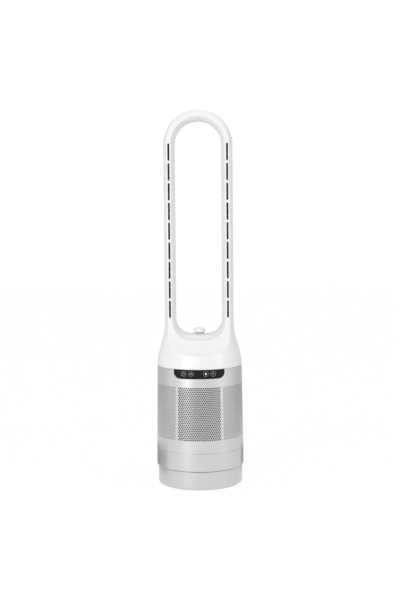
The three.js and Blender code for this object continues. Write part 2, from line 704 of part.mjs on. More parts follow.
function controlBoard() {
  const face = -(collarRadius - HOUSING_WALL - DISPLAY_FRAME_THICKNESS - CONTROL_BOARD_SETBACK);
  const half = CONTROL_BOARD_WIDTH / 2;
  const low = deckTop + GAP;
  let board = block([-half, half], [face, face + BOARD_THICKNESS], [low, low + CONTROL_BOARD_HEIGHT]);
  const back = face + BOARD_THICKNESS - 0.5;
  const middle = low + CONTROL_BOARD_HEIGHT / 2;
  const width = span(0, PROCESSOR_SIZE);
  const processor = block(width, [back, back + PROCESSOR_HEIGHT], span(middle, PROCESSOR_SIZE));
  const plug = block(
    span(half - PLUG_WIDTH, PLUG_WIDTH),
    [back, back + PLUG_HEIGHT],
    span(middle, PLUG_WIDTH / 2),
  );
  return board.add(processor).add(plug);
}

function prefilter(from, to) {
  const low = windowLow - PREFILTER_MARGIN;
  const high = windowTop + 1;
  const sheet = drumSheet(low, high, HOUSING_WALL + GAP, PREFILTER_THICKNESS, INNER_FACETS);
  const middle = FRONT + (from + to) / 2;
  const half = (to - from) / 2;
  const wedge = sector(collarRadius / 2, 2 * collarRadius, low - 1, high + 1, middle, half);
  return sheet.intersect(wedge);
}

// ---------------------------------------------------------------- inner cage and deck
function innerCage() {
  const inner = cageOuter - CAGE_WIDTH;
  const low = turntableTop + RIB_HEIGHT + GAP;
  const high = deckLow - GAP;
  let cage = ring(inner, cageOuter, low, low + CAGE_RING, RING_FACETS);
  cage = cage.add(ring(inner, cageOuter, high - CAGE_RING, high, RING_FACETS));
  for (let k = 0; k < CAGE_POSTS; k++) {
    const post = block([inner + 2, cageOuter - 2], span(0, CAGE_POST_WIDTH), [low + 1, high - 1]);
    cage = cage.add(turned(post, (k + 0.5) * ((2 * Math.PI) / CAGE_POSTS)));
  }
  return cage;
}

function topDeck() {
  const outer = innerRadius(deckTop) - GAP;
  let deck = ring(ductInner - DECK_LEDGE, outer, deckLow, deckTop, INNER_FACETS);
  deck = deck.add(disc(DECK_HUB, deckLow, deckTop));
  for (let k = 0; k < 4; k++) {
    const spoke = block([DECK_HUB - 2, ductInner], [-DECK_SPOKE / 2, DECK_SPOKE / 2], [deckLow, deckTop]);
    deck = deck.add(turned(spoke, k * 90 * DEGREE));
  }
  for (const side of [0, Math.PI]) deck = deck.add(turned(latchHook(), side));
  return deck.subtract(disc(KNOB_SHAFT + GAP, deckLow - 1, deckTop + 1));
}

// Hook over one end of the latch bar: its post also stops the bar's turn.
function latchHook() {
  const tip = LATCH_LENGTH / 2;
  const x = [tip - HOOK_WIDTH, tip];
  const postNear = LATCH_WIDTH / 2 + GAP;
  const armLow = latchLow + LATCH_THICKNESS + GAP;
  const post = block(x, [-postNear - HOOK_THICKNESS, -postNear], [deckTop - 1, armLow + HOOK_THICKNESS]);
  const arm = block(x, [-postNear - 1, LATCH_WIDTH / 2 - 2], [armLow, armLow + HOOK_THICKNESS]);
  return post.add(arm);
}

// ---------------------------------------------------------------- blower
function ductRadius(z) {
  const share = Math.min(Math.max((z - bladeLow) / BLADE_HEIGHT, 0), 1);
  return throatRadius + (ductInner - throatRadius) * share;
}

function impellerHousing() {
  const throatLow = bladeLow;
  const bell = [0, 1, 2].map((k) => {
    const angle = (k / 2) * (Math.PI / 2);
    const spread = (bellRadius - throatRadius) * (1 - Math.cos(angle));
    return [throatRadius + spread, throatLow - BELL_HEIGHT * Math.sin(angle)];
  });
  const flangeTop = deckLow - 2 * GAP - ISOLATOR_THICKNESS;
  const flangeOuter = ductInner + DUCT_WALL + DUCT_FLANGE - 2;
  return revolve([
    ...bell.toReversed(),
    [ductInner, bladeTop],
    [ductInner, flangeTop],
    [flangeOuter, flangeTop],
    [flangeOuter, flangeTop - DUCT_WALL],
    [ductInner + DUCT_WALL, flangeTop - DUCT_WALL],
    [ductInner + DUCT_WALL, bladeTop],
    ...bell.map(([r, z]) => [r + DUCT_WALL, z]),
  ], RING_FACETS);
}

function isolatorRing() {
  const high = deckLow - GAP;
  const outer = ductInner + DUCT_WALL + DUCT_FLANGE - 2;
  return ring(ductInner - 2, outer, high - ISOLATOR_THICKNESS, high, RING_FACETS);
}

function hubRadius(z) {
  const share = Math.min(Math.max((z - bladeLow) / BLADE_HEIGHT, 0), 1);
  return HUB_LOW_RADIUS + (HUB_HIGH_RADIUS - HUB_LOW_RADIUS) * Math.sin((share * Math.PI) / 2);
}

// One twisted blade, rooted in the hub and running close to the casing.
function bladeGeometry() {
  const chordSteps = 4;
  const spanSteps = 1;
  const positions = [];
  const index = [];
  for (const side of [-1, 1]) {
    for (let i = 0; i <= chordSteps; i++) {
      const z = bladeLow + 2 + ((BLADE_HEIGHT - 4) * i) / chordSteps;
      const root = hubRadius(z) - HUB_SHELL / 2;
      const tip = ductRadius(z) - TIP_CLEARANCE;
      for (let j = 0; j <= spanSteps; j++) {
        const r = root + ((tip - root) * j) / spanSteps;
        const turn = (BLADE_SWEEP * i) / chordSteps + (BLADE_LEAN * j) / spanSteps;
        const angle = turn + (side * BLADE_THICKNESS) / (2 * r);
        positions.push(r * Math.cos(angle), r * Math.sin(angle), z);
      }
    }
  }
  const row = spanSteps + 1;
  const sheet = row * (chordSteps + 1);
  const quad = (a, b, c, d) => index.push(a, b, c, a, c, d);
  for (let i = 0; i < chordSteps; i++) {
    for (let j = 0; j < spanSteps; j++) {
      const a = i * row + j;
      quad(a, a + row, a + row + 1, a + 1);
      quad(sheet + a, sheet + a + 1, sheet + a + row + 1, sheet + a + row);
    }
    const root = i * row;
    const tip = root + spanSteps;
    quad(root, sheet + root, sheet + root + row, root + row);
    quad(tip, tip + row, sheet + tip + row, sheet + tip);
  }
  const last = chordSteps * row;
  for (let j = 0; j < spanSteps; j++) {
    quad(j, j + 1, sheet + j + 1, sheet + j);
    quad(last + j, sheet + last + j, sheet + last + j + 1, last + j + 1);
  }
  const geometry = new THREE.BufferGeometry();
  geometry.setAttribute("position", new THREE.Float32BufferAttribute(positions, 3));
  geometry.setIndex(index);
  return geometry;
}

function impeller() {
  const steps = [0, 1, 2, 3].map((k) => bladeLow + (BLADE_HEIGHT * k) / 3);
  const bore = ROTOR_SHAFT + GAP;
  const outside = steps.map((z) => [hubRadius(z), z]);
  const inside = steps.slice(1).map((z) => [hubRadius(z) - HUB_SHELL, z]);
  const boss = 11;
  let wheel = revolve([
    [bore, bladeLow],
    ...outside,
    ...inside.toReversed(),
    [boss, bladeLow + HUB_SHELL + 2],
    [boss, bladeTop - 8],
    [bore, bladeTop - 8],
  ], SMALL_FACETS);
  const blade = solid(bladeGeometry());
  for (let k = 0; k < BLADE_COUNT; k++) wheel = wheel.add(turned(blade, (2 * Math.PI * k) / BLADE_COUNT));
  return wheel;
}

function rotorShaft() {
  const low = bladeLow - NUT_HEIGHT - 2;
  return disc(ROTOR_SHAFT, low, low + ROTOR_SHAFT_LENGTH, 16);
}

function impellerNut() {
  const high = bladeLow - GAP;
  const bore = (ROTOR_SHAFT + GAP) / Math.cos(Math.PI / 6);
  return ring(bore, NUT_ACROSS / 2, high - NUT_HEIGHT, high, 6);
}

function fanMotor() {
  const shoulder = FAN_MOTOR_RADIUS - MOTOR_CHAMFER;
  const body = revolve([
    [0, motorLow],
    [shoulder, motorLow],
    [FAN_MOTOR_RADIUS, motorLow + MOTOR_CHAMFER],
    [FAN_MOTOR_RADIUS, motorTop - MOTOR_CHAMFER],
    [shoulder, motorTop],
    [0, motorTop],
  ], SMALL_FACETS);
  const boreTop = bladeLow - NUT_HEIGHT - 2 + ROTOR_SHAFT_LENGTH + 2;
  return body.subtract(disc(ROTOR_SHAFT + GAP, motorLow - 1, boreTop, 16));
}

function diffuser() {
  const sleeveInner = FAN_MOTOR_RADIUS + GAP;
  const rimOuter = ductInner - GAP;
  const low = motorLow + MOTOR_CHAMFER;
  const high = low + DIFFUSER_HEIGHT;
  let body = ring(sleeveInner, sleeveInner + DIFFUSER_WALL, low, high, SMALL_FACETS);
  body = body.add(ring(rimOuter - DIFFUSER_WALL, rimOuter, low, high, RING_FACETS));
  // Each vane is a plate along a shallow arc from the sleeve to the rim.
  const root = sleeveInner + DIFFUSER_WALL / 2;
  const tip = Math.sqrt((rimOuter - DIFFUSER_WALL / 2) ** 2 - VANE_RISE ** 2);
  const spine = [0, 0.5, 1].map(
    (share) => new THREE.Vector2(root + (tip - root) * share, VANE_RISE * share ** 2),
  );
  const vane = [...spine, ...spine.toReversed().map((p) => new THREE.Vector2(p.x, p.y - VANE_THICKNESS))];
  const plate = upright(vane, low + 1, high - 1);
  for (let k = 0; k < VANE_COUNT; k++) body = body.add(turned(plate, (2 * Math.PI * k) / VANE_COUNT));
  return body;
}

// ---------------------------------------------------------------- rear cover and filter
function rearCover() {
  const low = doorLow + DOOR_GAP;
  const high = doorTop - DOOR_GAP;
  const half = DOOR_HALF_ANGLE - DOOR_GAP / LOWER_BAND_RADIUS;
  const wedge = (inner, from, to, angle) => sector(inner, 2 * collarRadius, from, to, REAR, angle);
  const shelfTop = low + SHELF_THICKNESS;
  const hollow = revolve([
    [0, low - 1],
    [filterInner + 3, low - 1],
    [filterInner + 3, shelfTop],
    [innerRadius(shelfTop), shelfTop],
    [innerRadius(high + 1), high + 1],
    [0, high + 1],
  ], INNER_FACETS);
  const skin = drumSlice(low, high, 0, BODY_FACETS).subtract(hollow);
  const cover = skin.intersect(wedge(collarRadius / 2, low, high, half));
  const holes = holeField(REAR, REAR_WINDOW_HALF_ANGLE, REAR_HOLE_PITCH, REAR_HOLE_RADIUS, REAR_HOLE_LENGTH);
  const grip = block(
    [-GRIP_HALF_WIDTH, GRIP_HALF_WIDTH],
    [collarRadius / 2, 2 * collarRadius],
    [high - GRIP_DEPTH, high + 1],
  );
  return cover.subtract(holes).subtract(grip);
}

const filterLow = doorLow + DOOR_GAP + SHELF_THICKNESS + GAP;
const filterTop = doorTop - DOOR_GAP - GRIP_DEPTH - GAP;

function filterCap(low) {
  const outer = clearRadius(low + FILTER_CAP_THICKNESS);
  return sector(filterInner, outer, low, low + FILTER_CAP_THICKNESS, REAR, FILTER_HALF_ANGLE);
}

function filterMedia() {
  const low = filterLow + FILTER_CAP_THICKNESS + GAP;
  const high = filterTop - FILTER_CAP_THICKNESS - GAP;
  const half = FILTER_HALF_ANGLE - 1 * DEGREE;
  const folds = 2 * PLEAT_COUNT;
  const fold = (k, shift) => {
    const angle = REAR - half + (2 * half * k) / folds;
    const radius = filterInner + 1 + (k % 2) * FILTER_DEPTH + shift;
    return new THREE.Vector2(radius * Math.cos(angle), radius * Math.sin(angle));
  };
  const inside = Array.from({ length: folds + 1 }, (_, k) => fold(k, 0));
  const outside = Array.from({ length: folds + 1 }, (_, k) => fold(folds - k, 2 * PLEAT_PAPER));
  return upright([...inside, ...outside], low, high);
}

// ---------------------------------------------------------------- air loop
// Turned form of the collar, the limbs' outer sides and the domed top. The hollow is sunk by the wall,
// opens downwards and leaves an inward lip above the gasket.
function loopTurning(inset) {
  const foot = collarRadius - inset;
  const stem = LOOP_HALF_WIDTH - inset;
  const lipLow = loopLow + LOOP_LIP_LIFT;
  const lipTop = lipLow + LOOP_LIP_THICKNESS;
  const collar = new THREE.CubicBezierCurve(
    new THREE.Vector2(foot, inset ? lipTop : loopLow),
    new THREE.Vector2(foot, loopLow + FLARE_RISE * 0.35),
    new THREE.Vector2(stem, loopLow + FLARE_RISE * 0.6),
    new THREE.Vector2(stem, loopLow + FLARE_RISE),
  ).getPoints(6);
  const dome = arc(stem, 0, Math.PI / 2, 8, 0, archCentre);
  const outline = [...collar, ...dome].map((p) => [p.x, p.y]);
  const lip = [[0, loopLow - 1], [foot, loopLow - 1], [foot, lipLow], [foot - LOOP_LIP_WIDTH, lipLow],
    [foot - LOOP_LIP_WIDTH, lipTop]];
  return inset ? revolve([...lip, ...outline], INNER_FACETS) : revolve([[0, loopLow], ...outline]);
}

// Slab between the flat front and rear faces, which flare out into the collar.
function loopSlab(inset) {
  const face = LOOP_DEPTH / 2 - inset;
  const end = face + FLARE_REACH;
  const flare = new THREE.CubicBezierCurve(
    new THREE.Vector2(face, loopLow + FACE_FLARE_TOP),
    new THREE.Vector2(face, loopLow + FACE_FLARE_TOP - FLARE_UPPER_PULL - inset),
    new THREE.Vector2(end - FLARE_LOWER_PULL, loopLow + FACE_FLARE_LOW + FLARE_LOWER_LIFT - inset),
    new THREE.Vector2(end, loopLow + FACE_FLARE_LOW - inset),
  ).getPoints(6);
  const wide = 2 * collarRadius;
  const side = [
    new THREE.Vector2(face, loopTop + 10),
    ...flare,
    new THREE.Vector2(wide, loopLow + FACE_FLARE_LOW - inset),
    new THREE.Vector2(wide, loopLow - 10),
  ];
  const profile = [...side, ...side.toReversed().map((p) => new THREE.Vector2(-p.x, p.y))];
  const settings = { depth: 2 * wide, bevelEnabled: false };
  const geometry = new THREE.ExtrudeGeometry(new THREE.Shape(profile), settings);
  return solid(geometry.translate(0, 0, -wide).rotateX(Math.PI / 2).rotateZ(Math.PI / 2));
}

// Through opening of the loop. Its sides bulge inwards at mid depth as the limbs' outer sides bulge out.
function loopOpening(grow) {
  const half = LOOP_DEPTH / 2;
  const bulge = (y) => LOOP_HALF_WIDTH - Math.sqrt(LOOP_HALF_WIDTH ** 2 - Math.min(Math.abs(y), half) ** 2);
  const shares = grow ? [-1, -0.55, 0, 0.55, 1] : [-1, -0.7, -0.36, 0, 0.36, 0.7, 1];
  const inner = shares.map((share) => share * half);
  const archSteps = grow ? 8 : 12;
  const cornerSteps = grow ? 3 : 4;
  const depths = [-2 * collarRadius, ...inner, 2 * collarRadius];
  const cornerZ = saddle + CROTCH_RADIUS;
  const cornerX = OPENING_HALF_WIDTH - CROTCH_RADIUS;
  const outline = (y) => {
    const spread = bulge(y) + grow;
    return [
      ...arc(OPENING_HALF_WIDTH + spread, 0, Math.PI, archSteps, 0, archCentre),
      ...arc(CROTCH_RADIUS + spread, Math.PI, 1.5 * Math.PI, cornerSteps, -cornerX, cornerZ),
      ...arc(CROTCH_RADIUS + spread, 1.5 * Math.PI, 2 * Math.PI, cornerSteps, cornerX, cornerZ),
    ];
  };
  return loft(depths.map((y) => outline(y).map((p) => new THREE.Vector3(p.x, y, p.y))));
}

// Closed skin over a row of sections with equal numbers of points.
function loft(sections) {
  const count = sections[0].length;
  const positions = sections.flat().flatMap((p) => [p.x, p.y, p.z]);
  const index = [];
  for (let s = 0; s + 1 < sections.length; s++) {
    for (let k = 0; k < count; k++) {
      const a = s * count + k;
      const b = s * count + ((k + 1) % count);
      index.push(a, b, b + count, a, b + count, a + count);
    }
  }
  const flat = sections[0].map((p) => new THREE.Vector2(p.x, p.z));
  const lastStart = (sections.length - 1) * count;
  for (const [a, b, c] of THREE.ShapeUtils.triangulateShape(flat, [])) {
    index.push(a, c, b);
    index.push(lastStart + a, lastStart + b, lastStart + c);
  }
  const geometry = new THREE.BufferGeometry();
  geometry.setAttribute("position", new THREE.Float32BufferAttribute(positions, 3));
  geometry.setIndex(index);
  return solid(geometry);
}

function loopForm(inset) {
  return loopTurning(inset).intersect(loopSlab(inset)).subtract(loopOpening(inset));
}

const slotX = (LOOP_HALF_WIDTH + OPENING_HALF_WIDTH) / 2;
const slotPitch = SLOT_LENGTH + SLOT_SPACE;
const slotsLow = loopLow + SLOT_LOW;

function slotCutters() {
  const half = SLOT_WIDTH / 2;
  const capsule = [
    ...arc(half, Math.PI, 2 * Math.PI, 2, 0, half),
    ...arc(half, 0, Math.PI, 2, 0, SLOT_LENGTH - half),
  ];
  const slot = frontal(capsule, -LOOP_DEPTH / 2 - 5, -LOOP_DEPTH / 2 + LOOP_WALL + 3);
  let slots = null;
  for (const side of [-1, 1]) {
    for (let k = 0; k < SLOT_COUNT; k++) {
      const placed = slot.translate([side * slotX, 0, slotsLow + k * slotPitch]);
      slots = slots ? slots.add(placed) : placed;
    }
  }
  return slots;
}

function loopShell() {
  const shell = loopForm(0).subtract(loopForm(LOOP_WALL));
  return shell.subtract(disc(KNOB_SHAFT + GAP + BUSH_WALL + GAP, saddle - 12, saddle + 5));
}

function loopHalves() {
  const wide = 2 * collarRadius;
  const shell = loopShell();
  const front = block([-wide, wide], [-wide, -LOOP_SEAM / 2], [loopLow - 1, loopTop + 1]);
  const rear = block([-wide, wide], [LOOP_SEAM / 2, wide], [loopLow - 1, loopTop + 1]);
  return [shell.intersect(front).subtract(slotCutters()), shell.intersect(rear)];
}

// Two fins that line a row of slots, tied by a bridge in each space between two slots.
function nozzleGuide() {
  const near = -LOOP_DEPTH / 2 + LOOP_WALL + GUIDE_SETBACK;
  const far = near + GUIDE_DEPTH;
  const inner = SLOT_WIDTH / 2 + GUIDE_MARGIN;
  const low = slotsLow - SLOT_SPACE / 2;
  const high = low + SLOT_COUNT * slotPitch;
  let guide = block([inner, inner + GUIDE_WALL], [near, far], [low, high]);
  guide = guide.add(block([-inner - GUIDE_WALL, -inner], [near, far], [low, high]));
  for (let k = 0; k <= SLOT_COUNT; k += BRIDGE_STEP) {
    const z = low + k * slotPitch;
    const levels = [Math.max(z - 1, low), Math.min(z + 1, high)];
    const bridge = block([-inner - 0.5, inner + 0.5], [near, far], levels);
    guide = guide.add(bridge);
  }
  return guide;
}

function neckGasket() {
  const outer = (collarRadius - LOOP_WALL) * Math.cos(Math.PI / INNER_FACETS) - GAP;
  return ring(outer - GASKET_WIDTH, outer, housingTop + GAP, loopLow + LOOP_LIP_LIFT - GAP, RING_FACETS);
}

// ---------------------------------------------------------------- lock knob
function knobBush() {
  const bore = KNOB_SHAFT + GAP;
  const seat = saddle + GAP;
  return revolve([
    [bore, seat - BUSH_LENGTH],
    [bore + BUSH_WALL, seat - BUSH_LENGTH],
    [bore + BUSH_WALL, seat],
    [BUSH_FLANGE, seat],
    [BUSH_FLANGE, seat + BUSH_FLANGE_THICKNESS],
    [bore, seat + BUSH_FLANGE_THICKNESS],
  ], SMALL_FACETS);
}

function lockKnob() {
  const capLow = knobLow + KNOB_STEM_HEIGHT;
  const capTop = knobLow + KNOB_HEIGHT;
  const domeLow = capLow + KNOB_RIM;
  const dome = new THREE.EllipseCurve(0, domeLow, KNOB_RADIUS, capTop - domeLow, 0, Math.PI / 2);
  const bore = KNOB_SHAFT + GAP;
  const boreTop = capTop - KNOB_CROWN;
  return revolve([
    [0, boreTop],
    [bore, boreTop],
    [bore, knobLow],
    [KNOB_STEM_RADIUS, knobLow],
    [KNOB_STEM_RADIUS, capLow],
    [KNOB_RADIUS - 1, capLow],
    [KNOB_RADIUS, capLow + 1],
    ...dome.getPoints(4).map((p) => [Math.max(p.x, 0), p.y]),
  ], SMALL_FACETS);
}

function knobShaft() {
  return disc(KNOB_SHAFT, deckLow, knobLow + KNOB_HEIGHT - KNOB_CROWN - GAP);
}

function latchBar() {
  const half = LATCH_LENGTH / 2 - 1;
  const round = LATCH_WIDTH / 2;
  const outline = [
    ...arc(round, -Math.PI / 2, Math.PI / 2, 6, half - round, 0),
    ...arc(round, Math.PI / 2, 1.5 * Math.PI, 6, -half + round, 0),
  ];
  return upright(outline, latchLow, latchLow + LATCH_THICKNESS).subtract(
    disc(KNOB_SHAFT + GAP, latchLow - 1, latchLow + LATCH_THICKNESS + 1),
  );
}

// ---------------------------------------------------------------- materials
const finish = (color, roughness, metalness) => ({ color, roughness, metalness });
const WHITE_GLOSS = finish(0xf4f4f4, 0.28, 0);
const SILVER = finish(0xc9cacb, 0.35, 0.55);
const DARK_PLASTIC = finish(0x1d1e20, 0.5, 0);
const GREY_PLASTIC = finish(0x8d9094, 0.55, 0);
const PALE_PLASTIC = finish(0xd8d9d8, 0.5, 0);
const BLACK_GLASS = finish(0x0a0b0d, 0.06, 0);
const STEEL = finish(0x9a9da1, 0.3, 1);
const RUBBER = finish(0x252628, 0.85, 0);
const BOARD_GREEN = finish(0x1f5a3a, 0.6, 0);
const FOAM = finish(0x2b2c2e, 0.95, 0);
const FLEECE = finish(0xe4e4e0, 0.95, 0);
const ACETAL = finish(0xf0eee6, 0.4, 0);

function piece(name, body, look) {
  const mesh = new THREE.Mesh(geometryOf(body), new THREE.MeshStandardMaterial(look));
  mesh.name = name;
  return mesh;
}

// ---------------------------------------------------------------- assembly
const fan = new THREE.Group();

const plinth = new THREE.Group();
plinth.add(piece("plinth_shell", plinthShell(), SILVER));
plinth.add(piece("base_plate", basePlate(), DARK_PLASTIC));
plinth.add(piece("ballast_ring", ballastRing(), STEEL));
for (let k = 0; k < FOOT_COUNT; k++) {
  const angle = (2 * Math.PI * (k + 0.5)) / FOOT_COUNT;
  const pad = piece(`foot_${k + 1}`, foot(), RUBBER);
  pad.position.set(footCircle * Math.cos(angle), footCircle * Math.sin(angle), 0);
  plinth.add(pad);
}
plinth.add(piece("power_inlet", powerInlet(), DARK_PLASTIC));
plinth.add(piece("pivot_post", pivotPost(), GREY_PLASTIC));
plinth.add(piece("pivot_washer", pivotWasher(), STEEL));
plinth.add(piece("slide_ring", slideRing(), ACETAL));
const gearMotor = new THREE.Group();
gearMotor.position.x = gearCentreDistance;
gearMotor.add(piece("oscillation_motor", oscillationMotor(), STEEL));
gearMotor.add(piece("motor_bracket", motorBracket(), STEEL));
const pinion = piece("drive_pinion", drivePinion(), ACETAL);
pinion.rotation.z = Math.PI + (SECTOR_TEETH % 2 ? Math.PI / PINION_TEETH : 0);
gearMotor.add(pinion);
plinth.add(gearMotor);
fan.add(plinth);

const tower = new THREE.Group();
tower.add(piece("turntable", turntable(), GREY_PLASTIC));
tower.add(piece("sector_gear", sectorGear(), ACETAL));
tower.add(piece("lower_band", lowerBand(), SILVER));
tower.add(piece("main_board", mainBoard(), BOARD_GREEN));
tower.add(piece("main_housing", mainHousing(), SILVER));
tower.add(piece("display_window", displayWindow(), BLACK_GLASS));
tower.add(piece("display_frame", displayFrame(), DARK_PLASTIC));
tower.add(piece("control_board", controlBoard(), BOARD_GREEN));
const seam = GAP / collarRadius;
const front = FRONT_PREFILTER_HALF_ANGLE;
const side = front + seam;
tower.add(piece("front_prefilter", prefilter(-front, front), FOAM));
tower.add(piece("side_prefilter_right", prefilter(side, SIDE_PREFILTER_END), FLEECE));
tower.add(piece("side_prefilter_left", prefilter(-SIDE_PREFILTER_END, -side), FLEECE));
tower.add(piece("inner_cage", innerCage(), GREY_PLASTIC));
tower.add(piece("top_deck", topDeck(), GREY_PLASTIC));
tower.add(piece("impeller_housing", impellerHousing(), DARK_PLASTIC));
tower.add(piece("isolator_ring", isolatorRing(), RUBBER));
tower.add(piece("fan_motor", fanMotor(), STEEL));
tower.add(piece("diffuser", diffuser(), DARK_PLASTIC));
tower.add(piece("neck_gasket", neckGasket(), RUBBER));
const [loopFront, loopRear] = loopHalves();
tower.add(piece("loop_front_shell", loopFront, WHITE_GLOSS));
tower.add(piece("loop_rear_shell", loopRear, WHITE_GLOSS));
for (const [name, side] of [["nozzle_guide_left", -1], ["nozzle_guide_right", 1]]) {
  const guide = piece(name, nozzleGuide(), DARK_PLASTIC);
  guide.position.x = side * slotX;
  tower.add(guide);
}
tower.add(piece("knob_bush", knobBush(), PALE_PLASTIC));

const blower = new THREE.Group();
blower.add(piece("impeller", impeller(), PALE_PLASTIC));
blower.add(piece("rotor_shaft", rotorShaft(), STEEL));
blower.add(piece("impeller_nut", impellerNut(), STEEL));
tower.add(blower);

const lock = new THREE.Group();
lock.add(piece("lock_knob", lockKnob(), WHITE_GLOSS));
lock.add(piece("knob_shaft", knobShaft(), STEEL));
lock.add(piece("latch_bar", latchBar(), STEEL));
tower.add(lock);

const cartridge = new THREE.Group();
cartridge.add(piece("rear_filter_cover", rearCover(), SILVER));
cartridge.add(piece("filter_media", filterMedia(), FLEECE));
cartridge.add(piece("filter_cap_low", filterCap(filterLow), GREY_PLASTIC));
cartridge.add(piece("filter_cap_high", filterCap(filterTop - FILTER_CAP_THICKNESS), GREY_PLASTIC));
tower.add(cartridge);
fan.add(tower);

export default fan;
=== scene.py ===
"""Bladeless tower fan: the pieces that show, their finishes, the stage and the camera."""

import json
from math import acos, asin, cos, degrees, dist, hypot, pi, radians, sin, sqrt, tau

import bmesh
import bpy
from mathutils import Matrix, Vector


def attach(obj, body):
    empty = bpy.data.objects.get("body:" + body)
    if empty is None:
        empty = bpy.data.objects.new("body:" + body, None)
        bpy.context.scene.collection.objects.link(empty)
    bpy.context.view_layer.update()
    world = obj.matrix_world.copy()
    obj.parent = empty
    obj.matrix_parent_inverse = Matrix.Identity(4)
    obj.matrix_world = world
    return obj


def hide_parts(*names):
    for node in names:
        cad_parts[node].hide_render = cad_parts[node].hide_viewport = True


bl_info = {
    "name": "Bladeless Tower Fan",
    "version": (1, 0, 0),
    "blender": (4, 5, 0),
    "location": "3D View > Sidebar > Fan",
    "description": "Builds the loop, drum, display, base and finishes of a bladeless tower fan",
    "category": "Object",
}

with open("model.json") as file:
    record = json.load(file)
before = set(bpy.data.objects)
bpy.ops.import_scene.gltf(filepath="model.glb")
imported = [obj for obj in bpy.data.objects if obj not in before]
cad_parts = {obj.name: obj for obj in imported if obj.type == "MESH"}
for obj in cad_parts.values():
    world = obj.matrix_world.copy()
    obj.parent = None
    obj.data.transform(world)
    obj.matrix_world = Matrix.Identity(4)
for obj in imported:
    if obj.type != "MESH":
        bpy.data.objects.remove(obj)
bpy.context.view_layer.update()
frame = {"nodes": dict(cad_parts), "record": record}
nodes = frame["nodes"]
slot_colours = {entry["slot"]: entry["base_color"] for entry in frame["record"]["materials"]}

MM = 0.001
WHITE = (1.0, 1.0, 1.0, 1.0)


# ------ sizes and colours


def measure(name, description, default, **options):
    return bpy.props.FloatProperty(name=name, description=description, default=default, min=0.0, **options)


def length(name, description, default):
    """A length property, written here in millimetres."""
    return measure(name, description, default * MM, precision=4, subtype="DISTANCE", unit="LENGTH")


def angle(name, description, default):
    """An angle property, written here in degrees."""
    return measure(name, description, radians(default), subtype="ANGLE", unit="ROTATION")


def number(name, description, default):
    return bpy.props.IntProperty(name=name, description=description, default=default, min=1)


def tint(name, description, slot):
    """A colour property that starts from the finish table of the part."""
    start = slot_colours[slot]
    return bpy.props.FloatVectorProperty(
        name=name, description=description, default=start, subtype="COLOR", size=3, min=0.0, max=1.0
    )


class FanSizes(bpy.types.PropertyGroup):
    drum_top: length("Drum top", "Height of the drum's upper edge", 304.7)
    drum_low: length("Drum foot", "Height of the drum's lower edge", 95.4)
    drum_low_radius: length("Drum foot radius", "Radius at the drum's lower edge", 111.1)
    drum_top_radius: length("Drum top radius", "Radius at the drum's upper edge", 107.7)
    sheet_wall: length("Sheet wall", "Depth of the drum's edges", 2.4)
    window_low: length("Window foot", "Lower edge of the perforation", 127.0)
    window_high: length("Window top", "Upper edge of the perforation", 260.7)
    window_half: angle("Window half angle", "Half angle of the dark front window", 29.6)
    hole_columns: number("Hole columns", "Holes across the front window", 21)
    hole_rows: number("Hole rows", "Rows of holes", 29)
    hole_radius: length("Hole radius", "Radius of one hole", 1.62)
    front_hole_radius: length("Front hole radius", "Radius of one hole of the front window", 2.05)
    door_low: length("Door foot", "Lower edge of the rear cover", 99.4)
    door_high: length("Door top", "Upper edge of the rear cover", 264.4)
    door_half: angle("Door half angle", "Half angle of the rear cover", 86.0)
    plinth_radius: length("Plinth radius", "Radius of the standing base", 107.3)
    plinth_low: length("Plinth foot", "Underside of the base shell", 2.5)
    plinth_top: length("Plinth top", "Upper edge of the base shell", 48.7)
    band_low: length("Band foot", "Lower edge of the turning band", 50.2)
    band_top: length("Band top", "Upper edge of the turning band", 95.1)
    display_half: length("Display half width", "Half width of the display", 62.7)
    display_height: length("Display height", "Height of the display", 22.4)
    display_corner: length("Display corner", "Radius of the display's lower corners", 15.0)
    loop_low: length("Loop foot", "Lower edge of the collar", 305.0)
    arch_height: length("Arch centre", "Height of the arch's centre", 862.6)
    loop_radius: length("Loop half width", "Outer radius of the columns and the arch", 87.38)
    loop_face: length("Loop half depth", "Distance of the flat faces from the middle", 39.0)
    opening_half: length("Opening half width", "Half width of the opening at its middle", 58.8)
    saddle: length("Saddle height", "Height of the opening's lower edge", 385.0)
    saddle_corner: length("Saddle corner", "Corner radius of the opening's foot", 38.0)
    edge: length("Loop edge", "Rounding of the loop's edges", 1.3)
    slot_low: length("First slot", "Lower end of the lowest slot", 427.6)
    slot_length: length("Slot length", "Length of one outlet slot", 43.6)
    slot_space: length("Slot space", "Solid bridge between two slots", 5.5)
    slot_width: length("Slot width", "Width of one outlet slot", 4.8)
    slot_count: number("Slots", "Outlet slots on each side", 9)
    knob_foot: length("Knob foot", "Underside of the knob", 387.2)
    knob_radius: length("Knob radius", "Radius of the knob's cap", 15.2)
    knob_stem: length("Knob stem", "Radius of the knob's stem", 12.2)
    knob_lift: length("Knob lift", "Height of the knob's stem", 1.5)
    knob_height: length("Knob height", "Height of the whole knob", 12.3)


